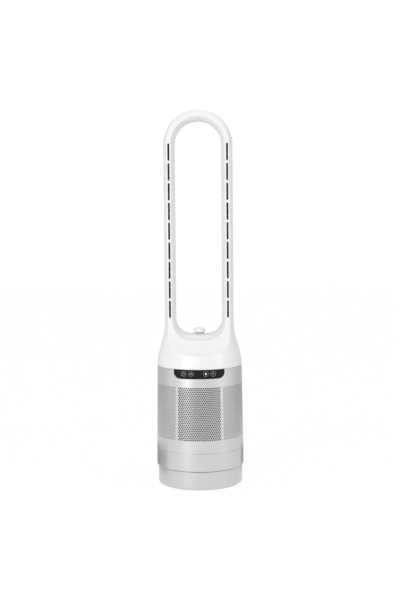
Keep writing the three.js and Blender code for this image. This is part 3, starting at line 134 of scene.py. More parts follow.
class FanColours(bpy.types.PropertyGroup):
    shell: tint("Loop", "Colour of the loop's white shells", "white_shell")
    silver: tint("Bands", "Colour of the silver drum and bands", "silver_band")
    glass: tint("Display", "Colour of the display glass", "display_glass")
    mesh_cloth: tint("Prefilter", "Colour of the mesh behind the holes", "dark_filter")
    paper: tint("Filter paper", "Colour of the pleated filter", "filter_paper")
    moulding: tint("Inner mouldings", "Colour of the hidden mouldings", "inner_plastic")
    black: tint("Black mouldings", "Colour of the black pieces", "black_plastic")
    blades: tint("Blades", "Colour of the blades", "blade_plastic")
    steel: tint("Steel", "Colour of shafts and motor cans", "steel")
    iron: tint("Weight", "Colour of the cast weight", "weight_iron")
    gears: tint("Gears", "Colour of the gears and bushes", "gear_plastic")
    board: tint("Boards", "Colour of the circuit boards", "board_green")
    rubber: tint("Rubber", "Colour of feet and seals", "soft_rubber")


class PlainSizes:
    """The fan's sizes as the mesh code uses them: millimetres, degrees and counts."""

    def refresh(self):
        """Reads the sizes again; each operator starts with it."""
        group = bpy.context.scene.fan_sizes
        for key in group.__annotations__:
            value = getattr(group, key)
            unit = group.bl_rna.properties[key].unit
            if unit == "LENGTH":
                value = round(value / MM, 4)
            elif unit == "ROTATION":
                value = round(degrees(value), 4)
            setattr(self, key, value)


size = PlainSizes()


# ------ finishes


COAT_ROUGHNESS = 0.08
TONE_REPEATS = 18.0
GLOSS_REPEATS = 60.0
MOULD_SHADE = 0.965
WAVE_FACTOR = 20.0  # bands of a wave texture per turn of its scale
THREAD_PITCH = 0.0016
TRACK_GREEN = (0.12, 0.3, 0.14, 1.0)


def shaded(colour, share):
    return [channel * share for channel in colour]


def even(repeats):
    """The same repeats per metre along all three axes."""
    return (repeats, repeats, repeats)


def combine(tree, operation, first, second):
    """The output of a math node; its second value is an output or a number."""
    node = tree.nodes.new("ShaderNodeMath")
    node.operation = operation
    tree.links.new(first, node.inputs[0])
    if isinstance(second, float):
        node.inputs[1].default_value = second
    else:
        tree.links.new(second, node.inputs[1])
    return node.outputs["Value"]


class Finish:
    """A procedural material: a shader with its textures in the object's own metres."""

    def __init__(self, name, colour, roughness, metallic=0.0, coat=0.0, specular=0.5):
        self.material = bpy.data.materials.new(name)
        self.material.use_nodes = True
        self.material.diffuse_color = (*colour, 1.0)
        self.tree = self.material.node_tree
        self.shader = self.tree.nodes["Principled BSDF"]
        values = {"Base Color": (*colour, 1.0), "Roughness": roughness, "Metallic": metallic,
                  "Coat Weight": coat, "Coat Roughness": COAT_ROUGHNESS, "Specular IOR Level": specular}
        for key, value in values.items():
            self.shader.inputs[key].default_value = value
        self.coordinates = self.add("ShaderNodeTexCoord")

    def add(self, kind, **values):
        node = self.tree.nodes.new(kind)
        for key, value in values.items():
            if key in node.inputs:
                node.inputs[key].default_value = value
            else:
                setattr(node, key, value)
        return node

    def link(self, source, target):
        self.tree.links.new(source, target)

    def place(self, stretch):
        """Texture coordinates stretched along the axes: repeats per metre."""
        mapping = self.add("ShaderNodeMapping", Scale=stretch)
        self.link(self.coordinates.outputs["Object"], mapping.inputs["Vector"])
        return mapping.outputs["Vector"]

    def noise(self, stretch, detail=3.0, rough=0.5):
        texture = self.add("ShaderNodeTexNoise", Scale=1.0, Detail=detail, Roughness=rough)
        self.link(self.place(stretch), texture.inputs["Vector"])
        return texture.outputs["Fac"]

    def wave(self, stretch, axis):
        texture = self.add("ShaderNodeTexWave", Scale=1.0, bands_direction=axis)
        self.link(self.place(stretch), texture.inputs["Vector"])
        return texture.outputs["Fac"]

    def tones(self, value, low, high, start=0.3, end=0.7):
        ramp = self.add("ShaderNodeValToRGB")
        ramp.color_ramp.elements[0].position = start
        ramp.color_ramp.elements[0].color = (*low, 1.0)
        ramp.color_ramp.elements[1].position = end
        ramp.color_ramp.elements[1].color = (*high, 1.0)
        self.link(value, ramp.inputs["Fac"])
        self.link(ramp.outputs["Color"], self.shader.inputs["Base Color"])

    def sheen_spread(self, value, low, high):
        spread = self.add("ShaderNodeMapRange", **{"To Min": low, "To Max": high})
        self.link(value, spread.inputs["Value"])
        self.link(spread.outputs["Result"], self.shader.inputs["Roughness"])

    def relief(self, value, height, strength=0.5):
        bump = self.add("ShaderNodeBump", Strength=strength, Distance=height)
        self.link(value, bump.inputs["Height"])
        self.link(bump.outputs["Normal"], self.shader.inputs["Normal"])


def grained(name, colour, roughness, repeats, shades, height, gloss=None, detail=3.0, rough=0.5,
            strength=0.5, **shader):
    """A finish whose one grain drives the tone, the relief and, where given, the gloss."""
    finish = Finish(name, colour, roughness, **shader)
    grain = finish.noise(repeats, detail, rough)
    finish.tones(grain, *[shaded(colour, share) for share in shades])
    finish.relief(grain, height, strength)
    if gloss:
        finish.sheen_spread(grain, *gloss)
    return finish.material


def moulded(name, colour, roughness, grain=900.0, height=0.00004, coat=0.0, spread=0.05):
    """Moulded plastic: a fine skin, slightly uneven gloss and a faint change of tone."""
    finish = Finish(name, colour, roughness, coat=coat)
    finish.tones(finish.noise(even(TONE_REPEATS)), shaded(colour, MOULD_SHADE), colour)
    patches = finish.noise(even(GLOSS_REPEATS), detail=4.0)
    finish.sheen_spread(patches, roughness - spread, roughness + spread)
    finish.relief(finish.noise(even(grain), detail=2.0), height)
    return finish.material


def woven(name, colour):
    """Mesh cloth: two crossing sets of threads."""
    finish = Finish(name, colour, roughness=0.85, specular=0.25)
    turns = tau / THREAD_PITCH / WAVE_FACTOR
    sets = [finish.wave(even(turns), axis) for axis in ("X", "Z")]
    threads = combine(finish.tree, "MULTIPLY", *sets)
    finish.tones(threads, shaded(colour, 0.35), colour, start=0.05, end=0.6)
    finish.relief(threads, 0.0003, strength=0.7)
    return finish.material


def laminate(name, colour):
    """Circuit board: lighter tracks over a dark laminate."""
    finish = Finish(name, colour, roughness=0.4)
    blocks = {"Scale": 1.0, "Mortar Size": 0.06, "Mortar": TRACK_GREEN,
              "Color1": (*colour, 1.0), "Color2": (*shaded(colour, 0.8), 1.0)}
    tracks = finish.add("ShaderNodeTexBrick", **blocks)
    finish.link(finish.place(even(220.0)), tracks.inputs["Vector"])
    finish.link(tracks.outputs["Color"], finish.shader.inputs["Base Color"])
    finish.relief(tracks.outputs["Fac"], 0.00004)
    return finish.material


def black_glass(name, colour):
    """Polished glass over black: deep tone with the faintest unevenness."""
    finish = Finish(name, colour, roughness=0.07, specular=0.1)
    finish.tones(finish.noise(even(9.0)), shaded(colour, 0.6), colour)
    finish.sheen_spread(finish.noise(even(45.0)), 0.05, 0.1)
    return finish.material


def marking(name, brightness):
    """Printed touch mark, lit softly from behind."""
    grey = [brightness] * 3
    finish = Finish(name, grey, roughness=0.4)
    finish.shader.inputs["Emission Color"].default_value = WHITE
    finish.shader.inputs["Emission Strength"].default_value = brightness * 0.5
    finish.tones(finish.noise(even(900.0)), shaded(grey, 0.8), grey)
    return finish.material


finishes = {}


def make_finishes():
    tone = bpy.context.scene.fan_colours
    finishes.update(
        white_shell=moulded("satin white", tone.shell, 0.27, height=0.000002, coat=0.12, spread=0.02),
        # Short fine strokes that run round the body.
        silver_band=grained("satin silver", tone.silver, 0.33, (60.0, 60.0, 4200.0), (0.95, 1.03),
                            height=0.00001, gloss=(0.31, 0.42), detail=4.0, rough=0.65,
                            strength=0.35, metallic=0.55),
        display_glass=black_glass("black glass", tone.glass),
        dark_filter=woven("dark mesh", tone.mesh_cloth),
        # Side prefilter: a paler mesh behind the side holes; its lightness is also a painted highlight that
        # brightens the drum's sides.
        pale_filter=woven("pale mesh", [0.78, 0.78, 0.79]),
        # Soft fibres and faint pressed lines.
        filter_paper=grained("filter paper", tone.paper, 0.9, (260.0, 260.0, 900.0), (0.86, 1.0),
                             height=0.0002, detail=6.0, rough=0.7, strength=0.6, specular=0.2),
        inner_plastic=moulded("grey moulding", tone.moulding, 0.55),
        black_plastic=moulded("black moulding", tone.black, 0.5),
        blade_plastic=moulded("blade moulding", tone.blades, 0.42),
        # Turned steel: fine rings along the axis.
        steel=grained("machined steel", tone.steel, 0.3, (120.0, 120.0, 3800.0), (0.82, 1.0),
                      height=0.00003, gloss=(0.22, 0.42), metallic=1.0),
        # Rough skin with darker hollows.
        weight_iron=grained("cast weight", tone.iron, 0.72, even(420.0), (0.6, 1.0),
                            height=0.0004, detail=6.0, rough=0.7, strength=0.8, metallic=0.6),
        gear_plastic=moulded("gear moulding", tone.gears, 0.48),
        board_green=laminate("green laminate", tone.board),
        soft_rubber=moulded("soft rubber", tone.rubber, 0.8, grain=500.0, height=0.0001),
        dim_mark=marking("dim mark", 0.3),
        bright_mark=marking("bright mark", 0.95),
    )


# ------ mesh tools


def assign(thing, **values):
    for key, value in values.items():
        setattr(thing, key, value)


def put_in_scene(name, data):
    """A new object that holds the data, linked to the scene."""
    made = bpy.data.objects.new(name, data)
    bpy.context.scene.collection.objects.link(made)
    return made


def rework(mesh, change):
    """Changes a mesh in edit form."""
    work = bmesh.new()
    work.from_mesh(mesh)
    change(work)
    work.to_mesh(mesh)
    work.free()


class Skin:
    """Points, given in millimetres, and faces, gathered patch by patch."""

    def __init__(self):
        self.points = []
        self.faces = []

    def point(self, x, y, z):
        self.points.append((x * MM, y * MM, z * MM))
        return len(self.points) - 1

    def row(self, places):
        return [self.point(*place) for place in places]

    def strip(self, first, second, closed=False):
        """Faces between two rows of the same length."""
        count = len(first)
        for i in range(count if closed else count - 1):
            j = (i + 1) % count
            self.faces.append((first[i], first[j], second[j], second[i]))

    def grid(self, rows, closed=False):
        made = [self.row(places) for places in rows]
        for low, high in zip(made, made[1:]):
            self.strip(low, high, closed)
        return made

    def mirrored(self):
        """Adds the left-right mirror image of everything made so far."""
        count = len(self.points)
        self.points += [(-x, y, z) for x, y, z in self.points]
        self.faces += [tuple(i + count for i in reversed(face)) for face in self.faces]

    def bare(self, name):
        """An object with everything made so far and no finish yet."""
        mesh = bpy.data.meshes.new(name)
        mesh.from_pydata(self.points, [], self.faces)
        return put_in_scene(name, mesh)

    def piece(self, name, body, finish, weld=None):
        """A piece of the fan on one of its bodies; points closer than the weld become one."""
        piece = self.bare(name)
        mesh = piece.data
        if weld is not None:
            rework(mesh, lambda work: bmesh.ops.remove_doubles(work, verts=work.verts, dist=weld * MM))
        mesh.validate()
        mesh.polygons.foreach_set("use_smooth", [True] * len(mesh.polygons))
        mesh.materials.append(finishes[finish])
        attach(piece, body)
        return piece


def paint_shade_on_faces(piece, finish, chosen):
    """Gives a second finish to the faces that the rule chooses by their middle, in millimetres; here it
    paints black shade into the seams and the slots.
    """
    piece.data.materials.append(finishes[finish])
    for face in piece.data.polygons:
        if chosen(face.center / MM):
            face.material_index = len(piece.data.materials) - 1


def even_shading(piece):
    """Shading that stays flat on the large faces."""
    assign(piece.modifiers.new("even shading", "WEIGHTED_NORMAL"), weight=100, keep_sharp=False)


def steps(low, high, count):
    return [low + (high - low) * i / count for i in range(count + 1)]


def swung(radius, turn, z):
    """A point at an angle from the front in radians, positive towards the right."""
    return (radius * sin(turn), -radius * cos(turn), z)


def around(radius, turn, z):
    """The same with the angle in degrees."""
    return swung(radius, radians(turn), z)


def turned(profile, segments):
    """A closed outline of (radius, height) turned round the upright axis."""
    skin = Skin()
    rings = [[around(radius, 360.0 * i / segments, z) for i in range(segments)] for radius, z in profile]
    made = skin.grid(rings, closed=True)
    skin.strip(made[-1], made[0], closed=True)
    return skin


def curve_point(a, b, c, d, t):
    """A point of a cubic curve."""
    s = 1.0 - t
    return tuple(
        s**3 * a[k] + 3 * s * s * t * b[k] + 3 * s * t * t * c[k] + t**3 * d[k] for k in range(2)
    )


# ------ drum


PATCH_TURN = 2.2  # degrees across one face of plain skin
PATCH_RISE = 12.0  # millimetres up one face of plain skin
RING_STEPS = 160
DOOR_STEPS = 70
JAMB_STEPS = 12
RIM_GAP = 0.02  # parts a hole's wall from the skin, so that its rim stays crisp
CUT_GAP = 0.01  # the same for the sheet's cut edges
HOLE_SIDES = 8
HOLE_WALL = 1.2
WINDOW_MARGIN = 2.4  # degrees of plain strip beside the front window
HOLE_START = 225.0  # direction of a hole's first corner
SIDE_FIELD_END = 84.6  # degrees from the front that the side holes may reach
REAR_FIELD_HALF = 80.6  # degrees from the back that the rear holes may reach
DRUM_LIP = ((0.5, 0.0), (0.1, 0.2), (0.0, 0.6), (0.0, 4.0))  # below the drum's top, and inwards
COVER_GAP = 0.5
COVER_GAP_TURN = 0.25
GRIP_HALF = 11.6  # half angle of the finger recess
GRIP_HEIGHT = 13.0
GRIP_DEPTH = 7.0
GRIP_STEPS, GRIP_ROWS = 24, 8
COVER_TOP_STEPS = 32
WELD = 0.004


def drum_radius(z):
    share = (z - size.drum_low) / (size.drum_top - size.drum_low)
    return size.drum_low_radius + (size.drum_top_radius - size.drum_low_radius) * share


def on_drum(turn, z, depth=0.0):
    """A point of the drum's skin, or at a depth below it."""
    return around(drum_radius(z) - depth, turn, z)


def plain_patch(skin, start, end, low, high):
    """An unbroken patch of the drum's skin between two angles and two heights."""
    across = max(1, round(abs(end - start) / PATCH_TURN))
    upward = max(1, round((high - low) / PATCH_RISE))
    turns = steps(start, end, across)
    skin.grid([[on_drum(turn, z) for turn in turns] for z in steps(low, high, upward)])


def holed_cell(skin, start, end, low, high, radius):
    """One cell of the perforation: an eight-sided hole with its wall."""
    middle = (start + end) / 2
    centre = (low + high) / 2
    border = [(start, low), (middle, low), (end, low), (end, centre), (end, high), (middle, high),
              (start, high), (start, centre)]
    rim = []
    for k in range(HOLE_SIDES):
        turn = radians(HOLE_START + 360.0 / HOLE_SIDES * k)
        across = degrees(radius * cos(turn) / drum_radius(centre))
        rim.append((middle + across, centre + radius * sin(turn)))
    skin.grid([[on_drum(*at) for at in places] for places in (border, rim)], closed=True)
    skin.grid([[on_drum(*at, depth) for at in rim] for depth in (RIM_GAP, HOLE_WALL)], closed=True)


def holed_patch(skin, start, columns, pitch, radius, facing=0.0):
    """A staggered field of holes; every second row starts half a pitch later."""
    levels = steps(size.window_low, size.window_high, size.hole_rows)
    for row, (low, high) in enumerate(zip(levels, levels[1:])):
        shift = 0.5 * (row % 2)
        for column in range(columns - row % 2):
            left = facing + start + (column + shift) * pitch
            holed_cell(skin, left, left + pitch, low, high, radius)
        if row % 2:
            for left in (facing + start, facing + start + (columns - 0.5) * pitch):
                skin.grid([[on_drum(left, z), on_drum(left + pitch / 2, z)] for z in (low, high)])


def edge_strip(skin, places):
    """The sheet's cut edge along a row of (angle, height) places."""
    skin.grid([[on_drum(*at, depth) for at in places] for depth in (CUT_GAP, size.sheet_wall)])


def build_drum():
    """The perforated drum, open at the back where the cover goes in."""
    pitch = 2 * size.window_half / size.hole_columns
    jamb = 180.0 - size.door_half
    side_start = size.window_half + WINDOW_MARGIN
    side_columns = int((SIDE_FIELD_END - side_start) / pitch)
    side_end = side_start + side_columns * pitch
    window = (size.window_low, size.window_high)
    skin = Skin()
    plain_patch(skin, -180, 180, size.drum_low, size.door_low)
    plain_patch(skin, -jamb, jamb, size.door_low, size.window_low)
    plain_patch(skin, -jamb, jamb, size.window_high, size.door_high)
    plain_patch(skin, -180, 180, size.door_high, size.drum_top - DRUM_LIP[0][0])
    skin.grid([[on_drum(turn, size.drum_top - drop, depth) for turn in steps(-180, 180, RING_STEPS)]
               for drop, depth in DRUM_LIP])
    holed_patch(skin, -size.window_half, size.hole_columns, pitch, size.front_hole_radius)
    for side in (-1, 1):
        plain_patch(skin, *sorted((side * size.window_half, side * side_start)), *window)
        holed_patch(skin, side_start if side > 0 else -side_end, side_columns, pitch, size.hole_radius)
        plain_patch(skin, *sorted((side * side_end, side * jamb)), *window)
        edge_strip(skin, [(side * jamb, z) for z in steps(size.door_low, size.door_high, JAMB_STEPS)])
    rear = steps(jamb, 360.0 - jamb, DOOR_STEPS)
    for level in (size.door_low, size.door_high):
        edge_strip(skin, [(turn, level) for turn in rear])
    drum = skin.piece("drum_sheet", "tower", "silver_band", weld=WELD)
    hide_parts("main_housing")
    even_shading(drum)


def build_cover():
    """The rear cover: perforated sheet, cut edges and a finger recess at its top."""
    low = size.door_low + COVER_GAP
    high = size.door_high - COVER_GAP
    half = size.door_half - COVER_GAP_TURN
    pitch = 2 * size.window_half / size.hole_columns
    columns = int(2 * REAR_FIELD_HALF / pitch)
    start = -columns * pitch / 2
    scoop_low = high - GRIP_HEIGHT
    skin = Skin()
    plain_patch(skin, 180 - half, 180 + half, low, size.window_low)
    plain_patch(skin, 180 - half, 180 + start, size.window_low, size.window_high)
    plain_patch(skin, 180 - start, 180 + half, size.window_low, size.window_high)
    holes = Skin()
    holed_patch(holes, start, columns, pitch, size.hole_radius, facing=180.0)
    offset = len(skin.points)
    skin.points += holes.points
    for face in holes.faces:
        x, _, z = (sum(holes.points[i][k] for i in face) / len(face) / MM for k in range(3))
        if abs(x) >= drum_radius(z) * sin(radians(GRIP_HALF)) or z <= scoop_low:
            skin.faces.append(tuple(i + offset for i in face))
    # The finger recess is a shallow scoop that leans inwards below the cover's top edge.
    scoop = []
    for share in steps(0.0, 1.0, GRIP_ROWS):
        row = []
        for turn in steps(-GRIP_HALF, GRIP_HALF, GRIP_STEPS):
            depth = GRIP_DEPTH * sin(pi / 2 * share) * (1 - (turn / GRIP_HALF) ** 6)
            row.append(on_drum(180 + turn, scoop_low + GRIP_HEIGHT * share, depth))
        scoop.append(row)
    skin.grid(scoop)
    edge_strip(skin, [(180 + turn, low) for turn in steps(-half, half, DOOR_STEPS)])
    for side in (-1, 1):
        plain_patch(skin, *sorted((180 + side * GRIP_HALF, 180 + side * half)), size.window_high, high)
        edge_strip(skin, [(180 + side * turn, high) for turn in steps(GRIP_HALF, half, COVER_TOP_STEPS)])
        edge_strip(skin, [(180 + side * half, z) for z in steps(low, high, JAMB_STEPS)])
    cover = skin.piece("rear_cover_sheet", "filter", "silver_band", weld=WELD)
    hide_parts("rear_filter_cover")
    even_shading(cover)


# ------ base


LEDGE = 12.0  # width of the flat upper and lower ledges
PLINTH_CORNER = 4.0
PLINTH_LIP = ((0.0, 0.8), (0.25, 0.2), (0.9, 0.0))  # inwards, and below the top
INLET_HALF = 4.1  # half angle of the power inlet's cut-out
INLET_LOW, INLET_HIGH = 17.7, 30.3
PLINTH_BEND_STEPS, INLET_STEPS, PLINTH_STEPS = 6, 4, 158
BAND_RETURN = 9.0
BAND_SEGMENTS, KNOB_SEGMENTS, DOME_STEPS = 180, 96, 14
BAND_FOOT = ((0.9, 0.0), (0.25, 0.2), (0.0, 0.9), (0.0, 1.5))  # inwards, and above the foot
BAND_LIP = ((0.0, 1.3), (0.0, 0.7), (0.2, 0.15), (0.7, 0.0))  # inwards, and below the top
KNOB_LIP = ((1.3, 0.0), (0.5, 0.3), (0.1, 1.0), (0.0, 1.8))  # inwards, and above the cap's underside
KNOB_RIM = 3.6
KNOB_CLEAR = 0.1  # how far the stem's foot stays above the solid's
KNOB_TIP = 0.05
STEM_WALL = 2.0
# Painted seam shade: how far inside the rounded edge it starts, and how near the seam's level a face must
# lie.
SEAM_SHADE_INSET = 1.0
SEAM_SHADE_TOLERANCE = 0.05


def in_seam_shade(level, radius):
    """A rule that chooses the faces in the seam at a level, inside the rounded edge, to be painted black as
    the shade in the gap between base and band.
    """
    return lambda at: abs(at.z - level) < SEAM_SHADE_TOLERANCE and hypot(at.x, at.y) < radius - SEAM_SHADE_INSET


def build_plinth():
    """The standing base: a rounded lower edge and the power inlet's cut-out at the back."""
    radius, low, top, corner = size.plinth_radius, size.plinth_low, size.plinth_top, PLINTH_CORNER
    skin = Skin()
    bend = [radians(turn) for turn in steps(-90.0, 0.0, PLINTH_BEND_STEPS)]
    lower = [(radius - LEDGE, low)]
    lower += [(radius - corner * (1 - cos(turn)), low + corner * (1 + sin(turn))) for turn in bend]
    lower += [(radius, INLET_LOW)]
    upper = [(radius, INLET_HIGH)]
    upper += [(radius - back, top - drop) for back, drop in PLINTH_LIP]
    upper += [(radius - LEDGE, top)]
    inlet = steps(180 - INLET_HALF, 180 + INLET_HALF, INLET_STEPS)
    rest = steps(180 + INLET_HALF, 540 - INLET_HALF, PLINTH_STEPS)
    for profile in (lower, upper):
        skin.grid([[around(r, turn, z) for turn in inlet + rest[1:-1]] for r, z in profile], closed=True)
    skin.grid([[around(radius, turn, z) for turn in rest] for z in (INLET_LOW, INLET_HIGH)])
    walls = [[(turn, z) for z in (INLET_LOW, INLET_HIGH)] for turn in (inlet[0], inlet[-1])]
    walls += [[(turn, z) for turn in inlet] for z in (INLET_LOW, INLET_HIGH)]
    for wall in walls:
        depths = (CUT_GAP, size.sheet_wall)
        skin.grid([[around(radius - depth, turn, z) for turn, z in wall] for depth in depths])
    plinth = skin.piece("plinth_skin", "plinth", "silver_band", weld=WELD)
    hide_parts("plinth_shell")
    # The plinth's top ring inside its rounded edge is painted black: painted shade in the gap under the
    # band.
    paint_shade_on_faces(plinth, "black_plastic", in_seam_shade(top, radius))
    even_shading(plinth)


def build_band():
    """The turning band above the seam."""
    radius, low, top, wall = size.drum_low_radius, size.band_low, size.band_top, size.sheet_wall
    profile = [(radius - BAND_RETURN, low)]
    profile += [(radius - back, low + rise) for back, rise in BAND_FOOT]
    profile += [(radius - back, top - drop) for back, drop in BAND_LIP]
    profile += [(radius - LEDGE, top), (radius - LEDGE, top - wall), (radius - wall, top - wall),
                (radius - wall, low + wall), (radius - BAND_RETURN, low + wall)]
    band = turned(profile, BAND_SEGMENTS).piece("band_skin", "tower", "silver_band")
    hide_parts("lower_band")
    # The band's underside inside its rounded edge is painted black: painted shade in the gap above the base.
    paint_shade_on_faces(band, "black_plastic", in_seam_shade(low, radius))
    even_shading(band)


def build_knob():
    """The domed lock knob on its short stem."""
    edge, stem, foot = size.knob_radius, size.knob_stem, size.knob_foot + KNOB_CLEAR
    low = size.knob_foot + size.knob_lift
    rim = low + KNOB_RIM
    top = size.knob_foot + size.knob_height
    bend = [radians(turn) for turn in steps(0.0, 90.0, DOME_STEPS)[:-1]]
    profile = [(stem - STEM_WALL, foot), (stem, foot), (stem, low)]
    profile += [(edge - back, low + rise) for back, rise in KNOB_LIP]
    profile += [(edge * cos(turn), rim + (top - rim) * sin(turn)) for turn in bend]
    knob = turned([*profile, (KNOB_TIP, top)], KNOB_SEGMENTS).piece("knob_cap", "knob", "white_shell")
    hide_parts("lock_knob")
    even_shading(knob)


# ------ display


DISPLAY_DROP = 0.5  # the display's top lies this far below the drum's
PLATE_EDGE = 0.22
PLATE_TURN, PLATE_TURN_STEPS = 86.0, 10  # degrees of a lower corner
PLATE_STEPS, PLATE_ROWS = 24, 6
MARK_LIFT = 0.36
MARK_HEIGHT = 294.6
SWING, FAN, STAR, SIGNAL = -38.3, -19.8, 16.6, 34.9  # the marks' places across the display
RING, DIAL = (6.4, 5.9), (3.6, 3.1)  # outer and inner radius
STROKE = 0.55
POINTER_HALF, POINTER_RISE = 2.2, 1.6
BLADE_RADIUS, BLADE_REACH, BLADE_SIDES = 1.1, 2.7, 12
STAR_REACH = (3.6, 1.0) * 4
SIGNAL_BARS = ((-1.8, 1.4), (0.0, 2.4), (1.8, 3.4))  # rise and half width of each


def glass_place(x, z, lift):
    """A point on the display, x millimetres from the middle."""
    radius = drum_radius(z) + lift
    return (x, -sqrt(radius * radius - x * x), z)


def display_plate(name, margin, lift, thickness, finish):
    """A plate that follows the drum, with rounded lower corners and edges."""
    half = size.display_half + margin
    corner = size.display_corner + margin
    top = size.drum_top - DISPLAY_DROP + margin
    low = top - size.display_height - margin
    bend = [radians(turn) for turn in steps(0.0, PLATE_TURN, PLATE_TURN_STEPS)]
    right = [(half - corner * (1 - sin(turn)), low + corner * (1 - cos(turn))) for turn in bend]
    places = [(-x, z) for x, z in reversed(right)]
    places += [(x, low) for x in steps(-half + corner, half - corner, PLATE_STEPS)[1:-1]]
    places += right
    skin = Skin()
    shares = steps(0.0, 1.0, PLATE_ROWS)
    skin.grid([[glass_place(x, z + (top - z) * share, lift) for x, z in places] for share in shares])
    plate = skin.piece(name, "tower", finish)
    assign(plate.modifiers.new("thickness", "SOLIDIFY"), thickness=thickness * MM, offset=-1.0)
    bevel = plate.modifiers.new("rounded edges", "BEVEL")
    assign(bevel, width=PLATE_EDGE * MM, segments=2, limit_method="ANGLE", angle_limit=radians(40.0))
    even_shading(plate)
    return plate


def flat_mark(skin, x0, outline, inner=None, rise=0.0):
    """A thin printed shape on the glass, filled or as a band between two outlines."""
    z0 = MARK_HEIGHT + rise
    outer = skin.row([glass_place(x0 + x, z0 + z, MARK_LIFT) for x, z in outline])
    if inner is None:
        middle = skin.point(*glass_place(x0, z0, MARK_LIFT))
        for i in range(len(outer)):
            skin.faces.append((outer[i], outer[(i + 1) % len(outer)], middle))
    else:
        skin.strip(outer, skin.row([glass_place(x0 + x, z0 + z, MARK_LIFT) for x, z in inner]), closed=True)


def circle(radius, count=28):
    turns = [tau * i / count for i in range(count)]
    return [(radius * cos(turn), radius * sin(turn)) for turn in turns]


def bar(x, z):
    """A straight stroke with one end at (x, z) and the other opposite, as four corners."""
    end = Vector((x, z))
    side = Vector((-z, x)).normalized() * STROKE / 2
    return [tuple(corner) for corner in (-end - side, end - side, end + side, side - end)]


def build_display():
    """The black display with four touch marks."""
    display_plate("display_seal", margin=0.45, lift=0.1, thickness=0.5, finish="soft_rubber")
    glass = display_plate("display_glass_plate", margin=0.0, lift=0.3, thickness=0.9, finish="display_glass")
    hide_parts("display_window")
    dim = Skin()
    for place in (SWING, FAN, STAR, SIGNAL):
        flat_mark(dim, place, *map(circle, RING))
    flat_mark(dim, SWING, bar(0.0, POINTER_HALF), rise=POINTER_RISE)
    flat_mark(dim, SWING, *map(circle, DIAL))
    blade = circle(BLADE_RADIUS, BLADE_SIDES)
    flat_mark(dim, FAN, blade)
    for turn in map(radians, (90, 210, 330)):
        flat_mark(dim, FAN + BLADE_REACH * cos(turn), blade, rise=BLADE_REACH * sin(turn))
    for rise, half in SIGNAL_BARS:
        flat_mark(dim, SIGNAL, bar(half, 0.0), rise=rise)
    dim.piece("touch_marks_dim", "tower", "dim_mark")
    lit = Skin()
    flat_mark(lit, STAR, [circle(reach, len(STAR_REACH))[i] for i, reach in enumerate(STAR_REACH)])
    lit.piece("touch_mark_lit", "tower", "bright_mark")


# ------ loop


COLLAR_RISES = (0.0, 38.5, 66.0, 110.0)  # the collar's curve: start, two pulls and end, above its foot
FLARE = ((0.0, 115.0), (0.0, 67.0), (36.0, 40.0), (65.0, 33.5))  # outwards from the face, above the foot
COLUMN_SCALE = 100.0  # millimetres up the column for a step of 1 beyond the flare's curve
TRAIL_STEPS = 1500
SEAM = 0.12  # half the gap between the front and rear shells
SEAM_DEPTHS = (0.3, 0.7, 1.2)  # how far a shell's edge turns inwards at the seam
FOOT_STEPS = 26
FLAT_STEPS = 4  # the foot's lines on the level part of the saddle
RIM_STEPS = 13  # the foot's lines that end on the collar's rim
ARCH_STEPS = 26
INNER_STEPS = 9
FACE_STEPS = 7
OUTER_STEPS = 20
EASE_STEPS = 3
CELL_STEPS = 12
SEARCH_STEPS = 30
EASE_SHARE = 0.8  # the most of a side that a rounded corner takes
DIP, DIP_POWER = 0.45, 1.5  # how much further the front lip of the saddle dips, and how it fades
RISE_POWER = 0.8
ARCH_START = 3.0  # degrees that the arch's first line is above the last slot's cell
SHOULDERS = (25.0, 50.0)  # directions of the places on a slot's round end
RIM_RISE = 0.5
RIM_TAIL = ((0.3, 0.1), (0.9, 0.02), (7.0, 0.02))  # inwards, and above the collar's foot
SLOT_WALL = 3.0
SLOT_GAP = 0.02
# The margins below mark out the slots' walls that get the painted slot shade.
SLOT_MARGIN, FACE_MARGIN, ARCH_MARGIN = 0.5, 0.1, 20.0  # round the slots' walls
SHELL_WELD = 0.008


def curve_share(curve, z, way):
    """The share along a curve that rises (way 1) or falls (way -1) where it reaches a height."""
    low, high = 0.0, 1.0
    for _ in range(SEARCH_STEPS):
        middle = (low + high) / 2
        if (z - curve_point(*curve, middle)[1]) * way > 0:
            low = middle
        else:
            high = middle
    return low


class LoopForm:
    """The loop's form: a turned body cut by two curved faces and by the open middle."""

    def __init__(self):
        self.low = size.loop_low
        self.radius = size.loop_radius
        self.face = size.loop_face
        radii = (size.drum_top_radius, size.drum_top_radius, self.radius, self.radius)
        self.collar = [(radius, self.low + rise) for radius, rise in zip(radii, COLLAR_RISES)]
        self.flare = [(self.face + reach, self.low + rise) for reach, rise in FLARE]

    def body(self, z):
        """Outer radius at a height."""
        if z >= self.collar[3][1]:
            return self.radius
        return curve_point(*self.collar, curve_share(self.collar, z, 1))[0]

    def slab(self, t):
        """Depth and height of the flat face: t runs down the flare, below 0 up the column."""
        if t <= 0:
            return self.face, self.flare[0][1] - t * COLUMN_SCALE
        return curve_point(*self.flare, t)

    def slab_at(self, z):
        """The t of slab() at a height."""
        if z >= self.flare[0][1]:
            return (self.flare[0][1] - z) / COLUMN_SCALE
        return curve_share(self.flare, z, -1)

    def bulge(self, y):
        """How far the turned body has drawn in at a distance from the middle plane."""
        reach = min(abs(y), self.face)
        return self.radius - sqrt(self.radius**2 - reach * reach)

    def crease(self, count):
        """Places along the edge between the face and the turned body, evenly spaced, from the middle up."""
        trail = []
        for t in steps(1.0, 0.0, TRAIL_STEPS):
            depth, z = self.slab(t)
            radius = self.body(z)
            if depth < radius:
                trail.append((t, sqrt(radius * radius - depth * depth), depth, z))
        trail[0] = (trail[0][0], 0.0, self.body(trail[0][3]), trail[0][3])
        total = [0.0]
        for a, b in zip(trail, trail[1:]):
            total.append(total[-1] + dist(a[1:], b[1:]))
        chosen = []
        k = 0
        for wanted in steps(0.0, total[-1], count):
            while k < len(trail) - 1 and total[k] < wanted - 1e-6:
                k += 1
            chosen.append(trail[k])
        return chosen


